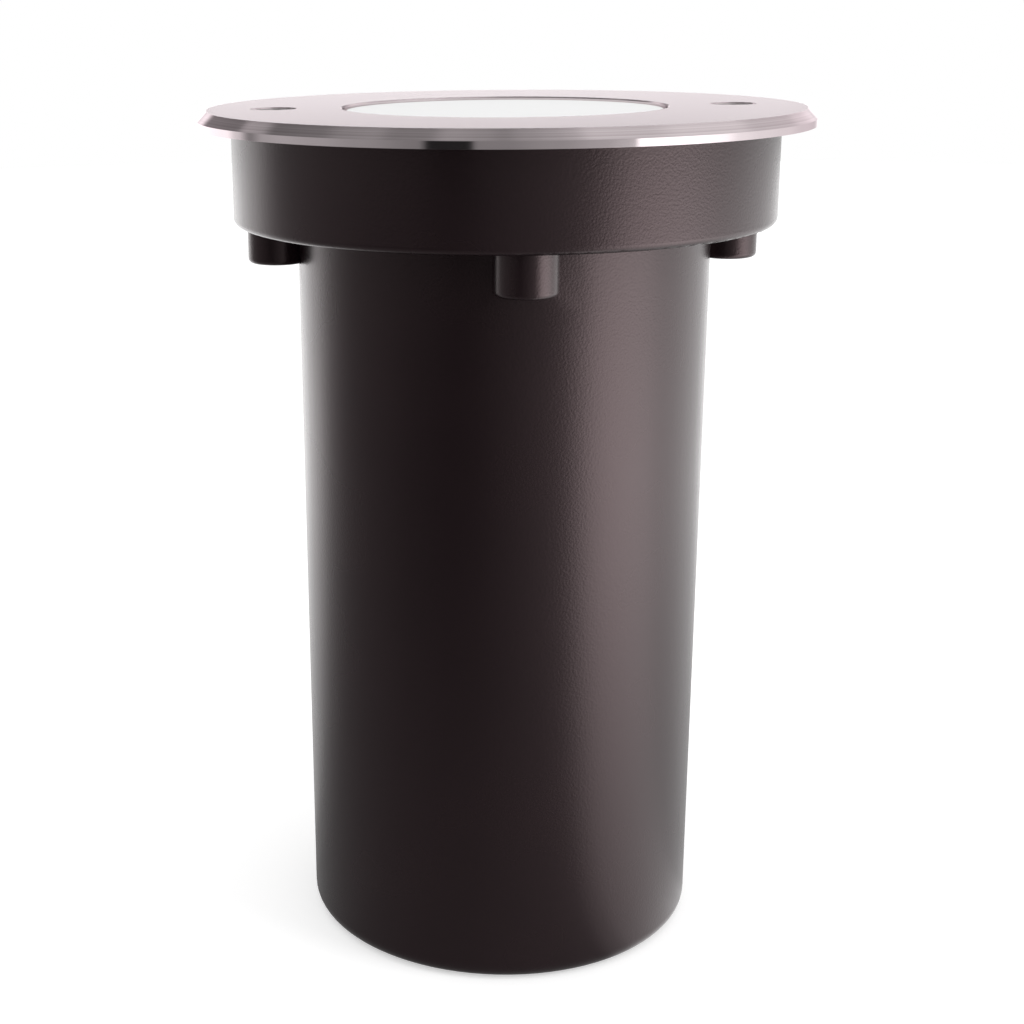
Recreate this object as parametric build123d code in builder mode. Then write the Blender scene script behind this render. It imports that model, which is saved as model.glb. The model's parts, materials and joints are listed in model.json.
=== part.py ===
from build123d import *
import os
from math import cos, radians, tan

# In ground well light with a tilting GU10 lamp, in millimetres, +Z up.
# The origin is the centre of the standing rim, on the light's axis.

# ------------------------------------------------------------------ driving dimensions

# Overall
total_height = 155.0
fit_gap = 0.05
loose_gap = 0.5

# Trim ring, turned from stainless plate
trim_d = 110.0
trim_thickness = 3.0
trim_bevel_width = 1.7
trim_bevel_height = 1.75
window_d = 58.2
window_chamfer = 0.25

# Collar of the housing, which drops into the ground sleeve
collar_d = 98.0
collar_height = 17.0
collar_wall = 3.0
collar_floor = 3.0
collar_edge_r = 1.2
recess_wall = 2.3

# Body of the housing, with the draft of its casting
body_top_d = 75.0
body_base_d = 74.0
body_wall = 3.3
body_root_r = 1.0
base_edge_r = 3.0
rim_wall = 6.0
floor_thickness = 4.0

# Four screw bosses a quarter turn apart
boss_count = 4
screw_circle_d = 82.5
boss_d = 10.8
boss_drop = 7.4
boss_edge_r = 0.9
boss_floor = 3.0

# Countersunk M4 screws with a hexagon socket, and their inserts
m4_r = 2.0
m4_clearance_r = 2.25
countersink_r = 4.2
head_recess = 0.25
head_rim = 0.2
socket_flats = 2.5
socket_depth = 1.4
screw_tip = 0.4
trim_screw_length = 16.0
clamp_screw_length = 10.0
insert_r = 2.8
insert_length = 8.0

# Glass and what clamps it
lens_recess = 0.55
lens_window_gap = 0.35
glass_flange_d = 73.6
glass_flange_thickness = 5.35
glass_chamfer = 0.4
gasket_thickness = 1.5
gasket_width = 2.2
upper_gasket_width = 5.5
clamp_thickness = 2.5
clamp_gap = 0.2
clamp_bore_d = 61.0

# Mounting plate on three posts above the wiring space
post_count = 3
post_start_angle = 90.0
post_inset = 4.2
post_r = 4.5
post_height = 24.0
post_hole_depth = 12.0
plate_thickness = 1.5
plate_gap = 1.0

# M3 pan head screws
m3_r = 1.45
m3_hole_r = 1.5
m3_clearance_r = 1.7
m3_head_r = 2.75
m3_head_height = 2.0
m3_head_edge_r = 0.8
m3_socket_flats = 2.0
m3_socket_depth = 1.2
m3_length = 6.0
m3_nut_flats = 5.5
m3_nut_height = 2.4

# Lamp, a bayonet reflector lamp of 50 mm, which is what the bracket's arms leave between them
lamp_face_gap = 15.0
lamp_rim_height = 4.0
lamp_rim_step = 2.3
lamp_neck_drop = 12.0
lamp_shoulder_drop = 33.0
lamp_base_drop = 36.0
lamp_length = 49.0
lamp_base_d = 23.0
lamp_shoulder_d = 31.0
lamp_bezel = 3.0
lamp_lens_thickness = 2.0
lamp_lens_edge_r = 0.8
lamp_fins = 20
lamp_slot_width = 1.6
lamp_slot_drop = 28.0
lamp_slot_length = 17.0
lamp_slot_inner_r = 16.5
pin_spacing = 10.0
pin_neck_r = 1.5
pin_neck_length = 4.0
pin_head_r = 2.45
pin_head_length = 3.0
pin_gap = 0.2
twist_angle = 18.0

# Gimbal ring
gimbal_wall = 3.2
gimbal_height = 8.0
gimbal_gap = 0.4
gimbal_lip = 1.5
gimbal_lip_gap = 0.7
pivot_boss_r = 4.0
pivot_boss_height = 0.35
pivot_washer_thickness = 0.5
pivot_screw_length = 6.0
clip_wire_r = 0.6
clip_gap_angle = 30.0
clip_ear = 3.0

# Lamp bracket, a bent strip with two arms
bracket_t = 1.5
bracket_width = 14.0
bracket_bend_r = 1.5
arm_corner_r = 6.0
bracket_screw_x = 14.0
arm_side_gap = 1.056

# Lamp holder and the strip that hangs it from the gimbal ring
holder_length = 27.0
holder_width = 20.0
holder_height = 15.0
holder_clearance = 11.75
holder_corner_r = 3.0
holder_top_plate = 3.6
holder_chamber = 8.0
holder_screw_y = 8.0
lead_exit_x = 7.0
contact_width = 2.5
contact_length = 4.0
contact_gap = 0.3
strip_t = 1.2
strip_width = 8.0
strip_straight = 10.0
strip_slope = 32.0
strip_side_gap = 1.5

# Terminal block on the floor
terminal_pitch = 9.0
terminal_poles = 3
terminal_depth = 13.0
terminal_height = 14.0
terminal_corner_r = 1.0
terminal_hole_depth = 3.0
terminal_inset = 10.7
terminal_bore_r = 2.7
terminal_bore_height = 7.0
terminal_wire_r = 1.6
terminal_screw_y = 3.6
terminal_screw_length = 5.0
terminal_slot_width = 0.5
terminal_slot_depth = 1.0
sleeve_inset = 1.0

# Earth connection on the floor
earth_x = -19.0
earth_y = 14.0
earth_boss_r = 4.0
earth_boss_height = 5.0
earth_screw_length = 8.0
earth_screw_tip_gap = 1.0
earth_tag_t = 0.8
earth_tag_length = 9.0
earth_barrel_r = 1.6
earth_barrel_length = 4.0

# Cable gland, size M20, in the middle of the floor
gland_stem_r = 9.9
gland_hole_r = 10.1
gland_stem_bore_r = 6.6
gland_flats = 24.0
gland_flange_height = 5.0
gland_washer_thickness = 1.5
gland_washer_r = 11.6
gland_basket_r = 9.0
gland_basket_length = 9.0
gland_seal_seat_r = 7.3
gland_seal_r = 7.0
gland_cable_r = 4.0
gland_seal_length = 8.2
gland_thread_gap = 0.1
gland_cap_flats = 23.0
gland_cap_length = 12.0
gland_cap_floor = 2.4
gland_cap_mouth_r = 6.2
gland_cap_lip = 2.0
gland_cap_dome_height = 3.6
gland_cap_corner_height = 5.4
lock_nut_height = 5.0

# Insulated leads, their ends in the holder, the terminal sleeves and the earth tag
lead_r = 0.9
grommet_post_gap = 1.8
lead_hole_pitch = 2.8
lead_drop = 3.9
lead_sag_x = 6.0
lead_sag_y = 6.0
lead_sag_above_grommet = 2.7
lead_straight = 4.5
lead_fan_y = -10.0
lead_in_sleeve = 4.0
earth_lead_turn_y = -12.5
grommet_r = 4.0
grommet_flange_r = 5.2
grommet_bore_r = 2.8
grommet_flange_t = 1.4

# ------------------------------------------------------------------ places worked out

trim_base_z = total_height - trim_thickness
collar_base_z = trim_base_z - collar_height
boss_base_z = collar_base_z - boss_drop
clamp_top_z = trim_base_z - clamp_gap
clamp_base_z = clamp_top_z - clamp_thickness
glass_shoulder_z = clamp_base_z - gasket_thickness
glass_base_z = glass_shoulder_z - glass_flange_thickness
seat_z = glass_base_z - gasket_thickness

lamp_face_z = glass_base_z - lamp_face_gap
lamp_base_z = lamp_face_z - lamp_length
pivot_z = lamp_face_z - lamp_rim_height - gimbal_lip + gimbal_height / 2
holder_top_z = lamp_base_z - pin_gap
holder_base_z = holder_top_z - holder_height
plate_top_z = holder_base_z - holder_clearance
plate_base_z = plate_top_z - plate_thickness
floor_top_z = plate_base_z - post_height
base_recess = floor_top_z - floor_thickness

trim_r = trim_d / 2
window_r = window_d / 2
collar_r = collar_d / 2
collar_inner_r = collar_r - collar_wall
glass_flange_r = glass_flange_d / 2
recess_r = glass_flange_r + loose_gap
screw_r = screw_circle_d / 2


def body_radius(z):
    """Outer radius of the tapered body at height z."""
    return (body_base_d + (body_top_d - body_base_d) * z / collar_base_z) / 2


def bore_radius(z):
    """Inner radius of the tapered body at height z."""
    return body_radius(z) - body_wall


# From the bore inwards: screw head, arm, washer, pivot boss, gimbal ring, lamp.
arm_outer_x = bore_radius(pivot_z - m3_head_r) - arm_side_gap - m3_head_height - fit_gap
arm_inner_x = arm_outer_x - bracket_t
pivot_face_x = arm_inner_x - 2 * fit_gap - pivot_washer_thickness
gimbal_outer_r = pivot_face_x - pivot_boss_height
gimbal_inner_r = gimbal_outer_r - gimbal_wall
lamp_r = gimbal_inner_r - gimbal_gap
lamp_neck_r = lamp_r - lamp_rim_step
lamp_lens_r = lamp_r - lamp_bezel

post_circle_r = bore_radius(0) - post_inset
terminal_y = terminal_inset - bore_radius(0)
lead_hole_y = post_circle_r - post_r - grommet_flange_r - grommet_post_gap


def corner(profile, across, up):
    """The profile's vertex nearest to the point (across, up) of its plane."""
    return profile.vertices().sort_by_distance((across, up, 0))[0]


# ------------------------------------------------------------------ housing

# A screw boss is a post with a rounded lower edge, from below the collar to the clamp ring.
with BuildPart() as screw_boss:
    with BuildSketch(Plane.XY.offset(boss_base_z)):
        Circle(boss_d / 2)
    extrude(amount=clamp_base_z - boss_base_z)
    fillet(screw_boss.edges().group_by(Axis.Z)[0], boss_edge_r)

# The casting: standing rim, recessed floor, tapered body, glass seat, screw bosses and collar.
with BuildPart() as housing:
    with BuildSketch(Plane.XZ) as outside:
        with BuildLine():
            Polyline(
                (0, base_recess),
                (body_radius(0) - rim_wall, base_recess),
                (body_radius(0) - rim_wall, 0),
                (body_radius(0), 0),
                (body_radius(collar_base_z), collar_base_z),
                (collar_r, collar_base_z),
                (collar_r, trim_base_z),
                (collar_inner_r, trim_base_z),
                (collar_inner_r, collar_base_z + collar_floor),
                (recess_r + recess_wall, collar_base_z + collar_floor),
                (recess_r + recess_wall, clamp_base_z),
                (0, clamp_base_z),
                close=True,
            )
        make_face()
        fillet(corner(outside, body_radius(0), 0), base_edge_r)
        fillet(corner(outside, collar_r, collar_base_z), collar_edge_r)
        fillet(corner(outside, body_radius(collar_base_z), collar_base_z), body_root_r)
    revolve(axis=Axis.Z)
    with PolarLocations(screw_r, boss_count):
        add(screw_boss.part)

    # The bore down to the floor, and the wider recess that the glass sits in.
    with BuildSketch(Plane.XZ):
        with BuildLine():
            Polyline(
                (0, floor_top_z),
                (bore_radius(floor_top_z), floor_top_z),
                (bore_radius(seat_z), seat_z),
                (recess_r, seat_z),
                (recess_r, clamp_base_z),
                (0, clamp_base_z),
                close=True,
            )
        make_face()
    revolve(axis=Axis.Z, mode=Mode.SUBTRACT)

    # Bores for the inserts, and the relief that the screws' ends need below them.
    with BuildSketch(Plane.XY.offset(clamp_base_z)):
        with PolarLocations(screw_r, boss_count):
            Circle(insert_r + fit_gap)
    extrude(amount=-insert_length, mode=Mode.SUBTRACT)
    with BuildSketch(Plane.XY.offset(clamp_base_z)):
        with PolarLocations(screw_r, boss_count):
            Circle(m4_clearance_r)
    extrude(amount=boss_base_z + boss_floor - clamp_base_z, mode=Mode.SUBTRACT)

    # Three posts for the mounting plate, each with a web that runs into the wall.
    web_length = bore_radius(floor_top_z) + body_wall / 2 - post_circle_r
    with BuildSketch(Plane.XY.offset(floor_top_z)):
        with PolarLocations(post_circle_r, post_count, post_start_angle):
            Circle(post_r)
            with Locations((web_length / 2, 0)):
                Rectangle(web_length, 2 * post_r)
    extrude(amount=post_height)
    with BuildSketch(Plane.XY.offset(plate_base_z)):
        with PolarLocations(post_circle_r, post_count, post_start_angle):
            Circle(m3_hole_r)
    extrude(amount=-post_hole_depth, mode=Mode.SUBTRACT)

    # Earth boss, the hole of the terminal block's screw, and the gland's hole.
    with BuildSketch(Plane.XY.offset(floor_top_z)):
        with Locations((earth_x, earth_y)):
            Circle(earth_boss_r)
    extrude(amount=earth_boss_height)
    with BuildSketch(Plane.XY.offset(floor_top_z + earth_boss_height)):
        with Locations((earth_x, earth_y)):
            Circle(m4_r + fit_gap)
    extrude(amount=-earth_screw_length, mode=Mode.SUBTRACT)
    with BuildSketch(Plane.XY.offset(floor_top_z)):
        with Locations((terminal_pitch / 2, terminal_y)):
            Circle(m3_hole_r)
    extrude(amount=-terminal_hole_depth, mode=Mode.SUBTRACT)
    with BuildSketch(Plane.XY.offset(floor_top_z)):
        Circle(gland_hole_r)
    extrude(amount=-floor_thickness, mode=Mode.SUBTRACT)

# Stainless inserts pressed into the four bosses.
with BuildPart() as thread_inserts:
    with BuildSketch(Plane.XY.offset(clamp_base_z)):
        with PolarLocations(screw_r, boss_count):
            Circle(insert_r)
            Circle(m4_r + fit_gap, mode=Mode.SUBTRACT)
    extrude(amount=-insert_length)

# ------------------------------------------------------------------ glass and clamp ring

# Flat silicone seal on the housing's ledge, under the glass.
with BuildPart() as lower_glass_gasket:
    with BuildSketch(Plane.XY.offset(seat_z)):
        Circle(glass_flange_r)
        Circle(glass_flange_r - gasket_width, mode=Mode.SUBTRACT)
    extrude(amount=gasket_thickness)

# Stepped glass: a flange that is clamped, and a raised middle that fills the trim ring's window.
with BuildPart() as glass_lens:
    with BuildSketch(Plane.XY.offset(glass_base_z)):
        Circle(glass_flange_r)
    extrude(amount=glass_flange_thickness)
    with BuildSketch(Plane.XY.offset(glass_shoulder_z)):
        Circle(window_r - lens_window_gap)
    extrude(amount=total_height - lens_recess - glass_shoulder_z)
    chamfer(glass_lens.edges().group_by(Axis.Z)[0], glass_chamfer)
    chamfer(glass_lens.edges().group_by(Axis.Z)[-1], glass_chamfer)

# Flat silicone seal between the glass flange and the clamp ring.
with BuildPart() as upper_glass_gasket:
    with BuildSketch(Plane.XY.offset(glass_shoulder_z)):
        Circle(glass_flange_r)
        Circle(glass_flange_r - upper_gasket_width, mode=Mode.SUBTRACT)
    extrude(amount=gasket_thickness)

# Clamp ring inside the collar, with countersunk holes for its own two screws.
with BuildPart() as clamp_ring:
    with BuildSketch(Plane.XY.offset(clamp_base_z)):
        Circle(collar_inner_r - loose_gap)
        Circle(clamp_bore_d / 2, mode=Mode.SUBTRACT)
    extrude(amount=clamp_thickness)
    with BuildSketch(Plane.XY.offset(clamp_base_z)):
        with PolarLocations(screw_r, 2):
            Circle(m4_clearance_r)
    extrude(amount=clamp_thickness, mode=Mode.SUBTRACT)
    with Locations(Plane.XY.offset(clamp_top_z)):
        with PolarLocations(screw_r, 2, 90):
            CounterSinkHole(m4_clearance_r, countersink_r, counter_sink_angle=90)


def countersunk_screw(top_z, length):
    """An M4 countersunk screw on the axis, its head's top at top_z."""
    head_r = countersink_r - head_recess - head_rim - fit_gap
    cone_base_z = top_z - head_rim - (head_r - m4_r)
    with BuildPart() as screw:
        with BuildSketch(Plane.XZ):
            with BuildLine():
                Polyline(
                    (0, top_z),
                    (head_r, top_z),
                    (head_r, top_z - head_rim),
                    (m4_r, cone_base_z),
                    (m4_r, top_z - length + screw_tip),
                    (m4_r - screw_tip, top_z - length),
                    (0, top_z - length),
                    close=True,
                )
            make_face()
        revolve(axis=Axis.Z)
        with BuildSketch(Plane.XY.offset(top_z)):
            RegularPolygon(socket_flats / 2, 6, major_radius=False)
        extrude(amount=-socket_depth, mode=Mode.SUBTRACT)
    return screw.part


# Two short screws hold the clamp ring to the front and rear bosses.
with BuildPart() as clamp_ring_screws:
    with PolarLocations(screw_r, 2, 90):
        add(countersunk_screw(clamp_top_z - head_recess, clamp_screw_length))

# ------------------------------------------------------------------ trim ring

# Turned plate with a bevelled edge, a lip, a window and two countersunk holes.
with BuildPart() as trim_ring:
    with BuildSketch(Plane.XZ) as trim_section:
        with BuildLine():
            Polyline(
                (window_r, trim_base_z),
                (trim_r, trim_base_z),
                (trim_r, total_height - trim_bevel_height),
                (trim_r - trim_bevel_width, total_height),
                (window_r, total_height),
                close=True,
            )
        make_face()
        chamfer(corner(trim_section, window_r, total_height), window_chamfer)
    revolve(axis=Axis.Z)
    with Locations(Plane.XY.offset(total_height)):
        with PolarLocations(screw_r, 2):
            CounterSinkHole(m4_clearance_r, countersink_r, counter_sink_angle=90)

# Its two screws reach through the clamp ring into the side bosses.
trim_screw = countersunk_screw(total_height - head_recess, trim_screw_length)
with BuildPart() as trim_screw_right:
    with Locations((screw_r, 0)):
        add(trim_screw)
with BuildPart() as trim_screw_left:
    with Locations((-screw_r, 0)):
        add(trim_screw)

# ------------------------------------------------------------------ mounting plate and bracket

plate_r = bore_radius(plate_base_z) - plate_gap

# Round steel plate with holes for its screws, the bracket's screws and the leads.
with BuildPart() as mounting_plate:
    with BuildSketch(Plane.XY.offset(plate_base_z)):
        Circle(plate_r)
        with PolarLocations(post_circle_r, post_count, post_start_angle):
            Circle(m3_clearance_r, mode=Mode.SUBTRACT)
        with Locations((bracket_screw_x, 0), (-bracket_screw_x, 0)):
            Circle(m3_clearance_r, mode=Mode.SUBTRACT)
        with Locations((0, lead_hole_y)):
            Circle(grommet_r, mode=Mode.SUBTRACT)
    extrude(amount=plate_thickness)


def pan_screw(shank_length):
    """An M3 pan head screw on the axis, the head's underside at the origin, the shank below."""
    with BuildPart() as screw:
        with BuildSketch():
            Circle(m3_head_r)
        extrude(amount=m3_head_height)
        fillet(screw.edges().group_by(Axis.Z)[-1], m3_head_edge_r)
        with BuildSketch():
            Circle(m3_r)
        extrude(amount=-shank_length)
        with BuildSketch(Plane.XY.offset(m3_head_height)):
            RegularPolygon(m3_socket_flats / 2, 6, major_radius=False)
        extrude(amount=-m3_socket_depth, mode=Mode.SUBTRACT)
    return screw.part


with BuildPart() as mounting_plate_screws:
    with Locations(Plane.XY.offset(plate_top_z)):
        with PolarLocations(post_circle_r, post_count, post_start_angle):
            add(pan_screw(m3_length))

# U shaped strip that stands on the plate and carries the gimbal ring between its arms.
arm_end_r = bracket_width / 2
with BuildPart() as lamp_bracket:
    with BuildSketch(Plane.XZ) as strip_outline:
        with BuildLine():
            Polyline(
                (-arm_outer_x, plate_top_z),
                (arm_outer_x, plate_top_z),
                (arm_outer_x, pivot_z + arm_end_r),
                (arm_inner_x, pivot_z + arm_end_r),
                (arm_inner_x, plate_top_z + bracket_t),
                (-arm_inner_x, plate_top_z + bracket_t),
                (-arm_inner_x, pivot_z + arm_end_r),
                (-arm_outer_x, pivot_z + arm_end_r),
                close=True,
            )
        make_face()
        for side in (-1, 1):
            fillet(corner(strip_outline, side * arm_inner_x, plate_top_z + bracket_t), bracket_bend_r)
            fillet(corner(strip_outline, side * arm_outer_x, plate_top_z), bracket_bend_r + bracket_t)
    extrude(amount=bracket_width / 2, both=True)
    fillet(lamp_bracket.edges().filter_by(Axis.X).group_by(Axis.Z)[-1], min(arm_corner_r, 0.9 * arm_end_r))
    with BuildSketch(Plane.YZ):
        with Locations((0, pivot_z)):
            Circle(m3_r + fit_gap)
    extrude(amount=arm_outer_x, both=True, mode=Mode.SUBTRACT)
    with BuildSketch(Plane.XY.offset(plate_top_z)):
        with Locations((bracket_screw_x, 0), (-bracket_screw_x, 0)):
            Circle(m3_clearance_r)
    extrude(amount=bracket_t, mode=Mode.SUBTRACT)

with BuildPart() as lamp_bracket_screws:
    with Locations(Plane.XY.offset(plate_top_z + bracket_t)):
        with Locations((bracket_screw_x, 0), (-bracket_screw_x, 0)):
            add(pan_screw(m3_length))

with BuildPart() as lamp_bracket_nuts:
    with BuildSketch(Plane.XY.offset(plate_base_z)):
        with Locations((bracket_screw_x, 0), (-bracket_screw_x, 0)):
            RegularPolygon(m3_nut_flats / 2, 6, major_radius=False)
            Circle(m3_hole_r, mode=Mode.SUBTRACT)
    extrude(amount=-m3_nut_height)

# Rubber grommet, two flanges and a groove for the plate.
with BuildPart() as wire_grommet:
    for bottom_z, radius, height in (
        (plate_base_z - grommet_flange_t, grommet_flange_r, grommet_flange_t),
        (plate_base_z, grommet_r - fit_gap, plate_thickness),
        (plate_top_z, grommet_flange_r, grommet_flange_t),
    ):
        with BuildSketch(Plane.XY.offset(bottom_z)):
            with Locations((0, lead_hole_y)):
                Circle(radius)
                Circle(grommet_bore_r, mode=Mode.SUBTRACT)
        extrude(amount=height)

# ------------------------------------------------------------------ gimbal

gimbal_base_z = pivot_z - gimbal_height / 2
clip_z = lamp_face_z + clip_wire_r + 2 * fit_gap
clip_r = gimbal_inner_r + clip_wire_r / 2

# Ring round the lamp's rim, with a lip below it, a clip groove above and a boss at each pivot.
with BuildPart() as gimbal_ring:
    with BuildSketch(Plane.XY.offset(gimbal_base_z)):
        Circle(gimbal_outer_r)
    extrude(amount=gimbal_height)
    with BuildSketch(Plane.YZ):
        with Locations((0, pivot_z)):
            Circle(pivot_boss_r)
    extrude(amount=pivot_face_x, both=True)
    with BuildSketch(Plane.XY.offset(gimbal_base_z)):
        Circle(lamp_neck_r + gimbal_lip_gap)
    extrude(amount=gimbal_height, mode=Mode.SUBTRACT)
    with BuildSketch(Plane.XY.offset(gimbal_base_z + gimbal_lip)):
        Circle(gimbal_inner_r)
    extrude(amount=gimbal_height, mode=Mode.SUBTRACT)
    with BuildSketch(Plane.XY.offset(clip_z - clip_wire_r - fit_gap)):
        Circle(clip_r + clip_wire_r + fit_gap)
    extrude(amount=2 * (clip_wire_r + fit_gap), mode=Mode.SUBTRACT)
    with BuildSketch(Plane.YZ):
        with Locations((0, pivot_z)):
            Circle(m3_hole_r)
    extrude(amount=pivot_face_x, both=True, mode=Mode.SUBTRACT)
    with BuildSketch(Plane.XZ):
        with Locations((0, pivot_z)):
            Circle(m3_hole_r)
    extrude(amount=gimbal_outer_r, both=True, mode=Mode.SUBTRACT)

# Washers between the ring's bosses and the arms.
with BuildPart() as gimbal_washers:
    with BuildSketch(Plane.YZ.offset(pivot_face_x + fit_gap)) as washer_face:
        with Locations((0, pivot_z)):
            Circle(pivot_boss_r)
            Circle(m3_hole_r, mode=Mode.SUBTRACT)
    extrude(amount=pivot_washer_thickness)
    mirror(about=Plane.YZ)

# Screws on the tilt axis, from outside the arms into the ring.
with BuildPart() as gimbal_pivot_screws:
    with Locations(
        Location((arm_outer_x + fit_gap, 0, pivot_z), (0, 90, 0)),
        Location((-arm_outer_x - fit_gap, 0, pivot_z), (0, -90, 0)),
    ):
        add(pan_screw(pivot_screw_length))

# Spring wire clip that keeps the lamp's rim in the ring.
with BuildPart() as lamp_clip:
    with BuildSketch(Plane.XZ):
        with Locations((clip_r, clip_z)):
            Circle(clip_wire_r)
    revolve(axis=Axis.Z, revolution_arc=360 - clip_gap_angle)
    for ear_angle in (0, clip_gap_angle - 360):
        ear_plane = Plane((0, 0, clip_z)).rotated((0, 0, -ear_angle))
        with BuildSketch(Plane(ear_plane.origin + ear_plane.x_dir * clip_r, z_dir=-ear_plane.x_dir)):
            Circle(clip_wire_r)
        extrude(amount=clip_ear)

# ------------------------------------------------------------------ lamp

# Body of the reflector lamp, with cooling slots round its cone.
with BuildPart() as lamp_body:
    with BuildSketch(Plane.XZ):
        with BuildLine():
            Polyline(
                (0, lamp_face_z - lamp_lens_thickness),
                (lamp_lens_r + fit_gap, lamp_face_z - lamp_lens_thickness),
                (lamp_lens_r + fit_gap, lamp_face_z),
                (lamp_r, lamp_face_z),
                (lamp_r, lamp_face_z - lamp_rim_height),
                (lamp_neck_r, lamp_face_z - lamp_rim_height),
                (lamp_neck_r, lamp_face_z - lamp_neck_drop),
                (lamp_shoulder_d / 2, lamp_face_z - lamp_shoulder_drop),
                (lamp_base_d / 2, lamp_face_z - lamp_base_drop),
                (lamp_base_d / 2, lamp_base_z),
                (0, lamp_base_z),
                close=True,
            )
        make_face()
    revolve(axis=Axis.Z)
    slot_depth = lamp_r - lamp_slot_inner_r
    with BuildSketch(Plane.XY.offset(lamp_face_z - lamp_slot_drop)):
        with PolarLocations(lamp_slot_inner_r + slot_depth / 2, lamp_fins):
            Rectangle(slot_depth, lamp_slot_width)
    extrude(amount=lamp_slot_length, mode=Mode.SUBTRACT)

# Front lens of the lamp.
with BuildPart() as lamp_lens:
    with BuildSketch(Plane.XY.offset(lamp_face_z - lamp_lens_thickness)):
        Circle(lamp_lens_r)
    extrude(amount=lamp_lens_thickness)
    fillet(lamp_lens.edges().group_by(Axis.Z)[-1], lamp_lens_edge_r)

# Two mushroom shaped bayonet pins.
with BuildPart() as lamp_pins:
    for radius, top_z, length in (
        (pin_neck_r, lamp_base_z, pin_neck_length),
        (pin_head_r, lamp_base_z - pin_neck_length, pin_head_length),
    ):
        with BuildSketch(Plane.XY.offset(top_z)):
            with Locations((pin_spacing / 2, 0), (-pin_spacing / 2, 0)):
                Circle(radius)
        extrude(amount=-length)

# ------------------------------------------------------------------ lamp holder

pin_head_base_z = lamp_base_z - pin_neck_length - pin_head_length
chamber_base_z = holder_top_z - holder_top_plate - holder_chamber


def pin_slots(half_width):
    """Two curved slots on the pins' circle, from locked to unlocked."""
    for start in (0, 180):
        SlotArc(CenterArc((0, 0), pin_spacing / 2, start, twist_angle), 2 * half_width)


# Ceramic block with narrow curved slots over wider chambers, and an entry hole at one end.
with BuildPart() as lamp_holder:
    with BuildSketch(Plane.XY.offset(holder_base_z)):
        RectangleRounded(holder_width, holder_length, holder_corner_r)
    extrude(amount=holder_height)
    with BuildSketch(Plane.XY.offset(chamber_base_z)):
        pin_slots(pin_head_r + pin_gap)
    extrude(amount=holder_chamber, mode=Mode.SUBTRACT)
    with BuildSketch(Plane.XY.offset(chamber_base_z)):
        pin_slots(pin_neck_r + pin_gap)
        with PolarLocations(pin_spacing / 2, 2, twist_angle):
            Circle(pin_head_r + pin_gap)
    extrude(amount=holder_top_z - chamber_base_z, mode=Mode.SUBTRACT)
    with BuildSketch(Plane.XY.offset(holder_base_z)):
        with Locations((0, holder_screw_y), (0, -holder_screw_y)):
            Circle(m3_hole_r)
    extrude(amount=m3_length, mode=Mode.SUBTRACT)
    with BuildSketch(Plane.XY.offset(holder_base_z)):
        with Locations((lead_exit_x, 0), (-lead_exit_x, 0)):
            Circle(lead_r + fit_gap)
    extrude(amount=chamber_base_z - holder_base_z, mode=Mode.SUBTRACT)

# Contact blocks under the pins.
with BuildPart() as holder_contacts:
    with BuildSketch(Plane.XY.offset(chamber_base_z)):
        with Locations((pin_spacing / 2, 0), (-pin_spacing / 2, 0)):
            Rectangle(contact_width, contact_length)
    extrude(amount=pin_head_base_z - contact_gap - chamber_base_z)

# Bent strip that hangs the holder from the gimbal ring's front and rear.
strip_top_y = gimbal_outer_r + fit_gap
strip_base_y = holder_length / 2 + strip_side_gap
strip_top_z = pivot_z + gimbal_height / 2
with BuildPart() as holder_bracket:
    with BuildSketch(Plane.YZ):
        with BuildLine():
            Polyline(
                (-strip_top_y, strip_top_z),
                (-strip_top_y, pivot_z - strip_straight),
                (-strip_base_y, pivot_z - strip_straight - strip_slope),
                (-strip_base_y, holder_base_z),
                (strip_base_y, holder_base_z),
                (strip_base_y, pivot_z - strip_straight - strip_slope),
                (strip_top_y, pivot_z - strip_straight),
                (strip_top_y, strip_top_z),
            )
            offset(amount=strip_t, side=Side.RIGHT)
        make_face()
    extrude(amount=strip_width / 2, both=True)
    with BuildSketch(Plane.XZ):
        with Locations((0, pivot_z)):
            Circle(m3_clearance_r)
    extrude(amount=strip_top_y + strip_t, both=True, mode=Mode.SUBTRACT)
    with BuildSketch(Plane.XY.offset(holder_base_z)):
        with Locations((0, holder_screw_y), (0, -holder_screw_y)):
            Circle(m3_clearance_r)
    extrude(amount=-strip_t, mode=Mode.SUBTRACT)

with BuildPart() as holder_bracket_screws:
    with Locations(
        Location((0, strip_top_y + strip_t, pivot_z), (-90, 0, 0)),
        Location((0, -strip_top_y - strip_t, pivot_z), (90, 0, 0)),
    ):
        add(pan_screw(strip_t + gimbal_wall))

with BuildPart() as holder_screws:
    with Locations(
        Location((0, holder_screw_y, holder_base_z - strip_t), (180, 0, 0)),
        Location((0, -holder_screw_y, holder_base_z - strip_t), (180, 0, 0)),
    ):
        add(pan_screw(m3_length))

# ------------------------------------------------------------------ terminal block and earth

terminal_length = terminal_poles * terminal_pitch
terminal_bore_z = floor_top_z + terminal_bore_height
terminal_top_z = floor_top_z + terminal_height

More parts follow.
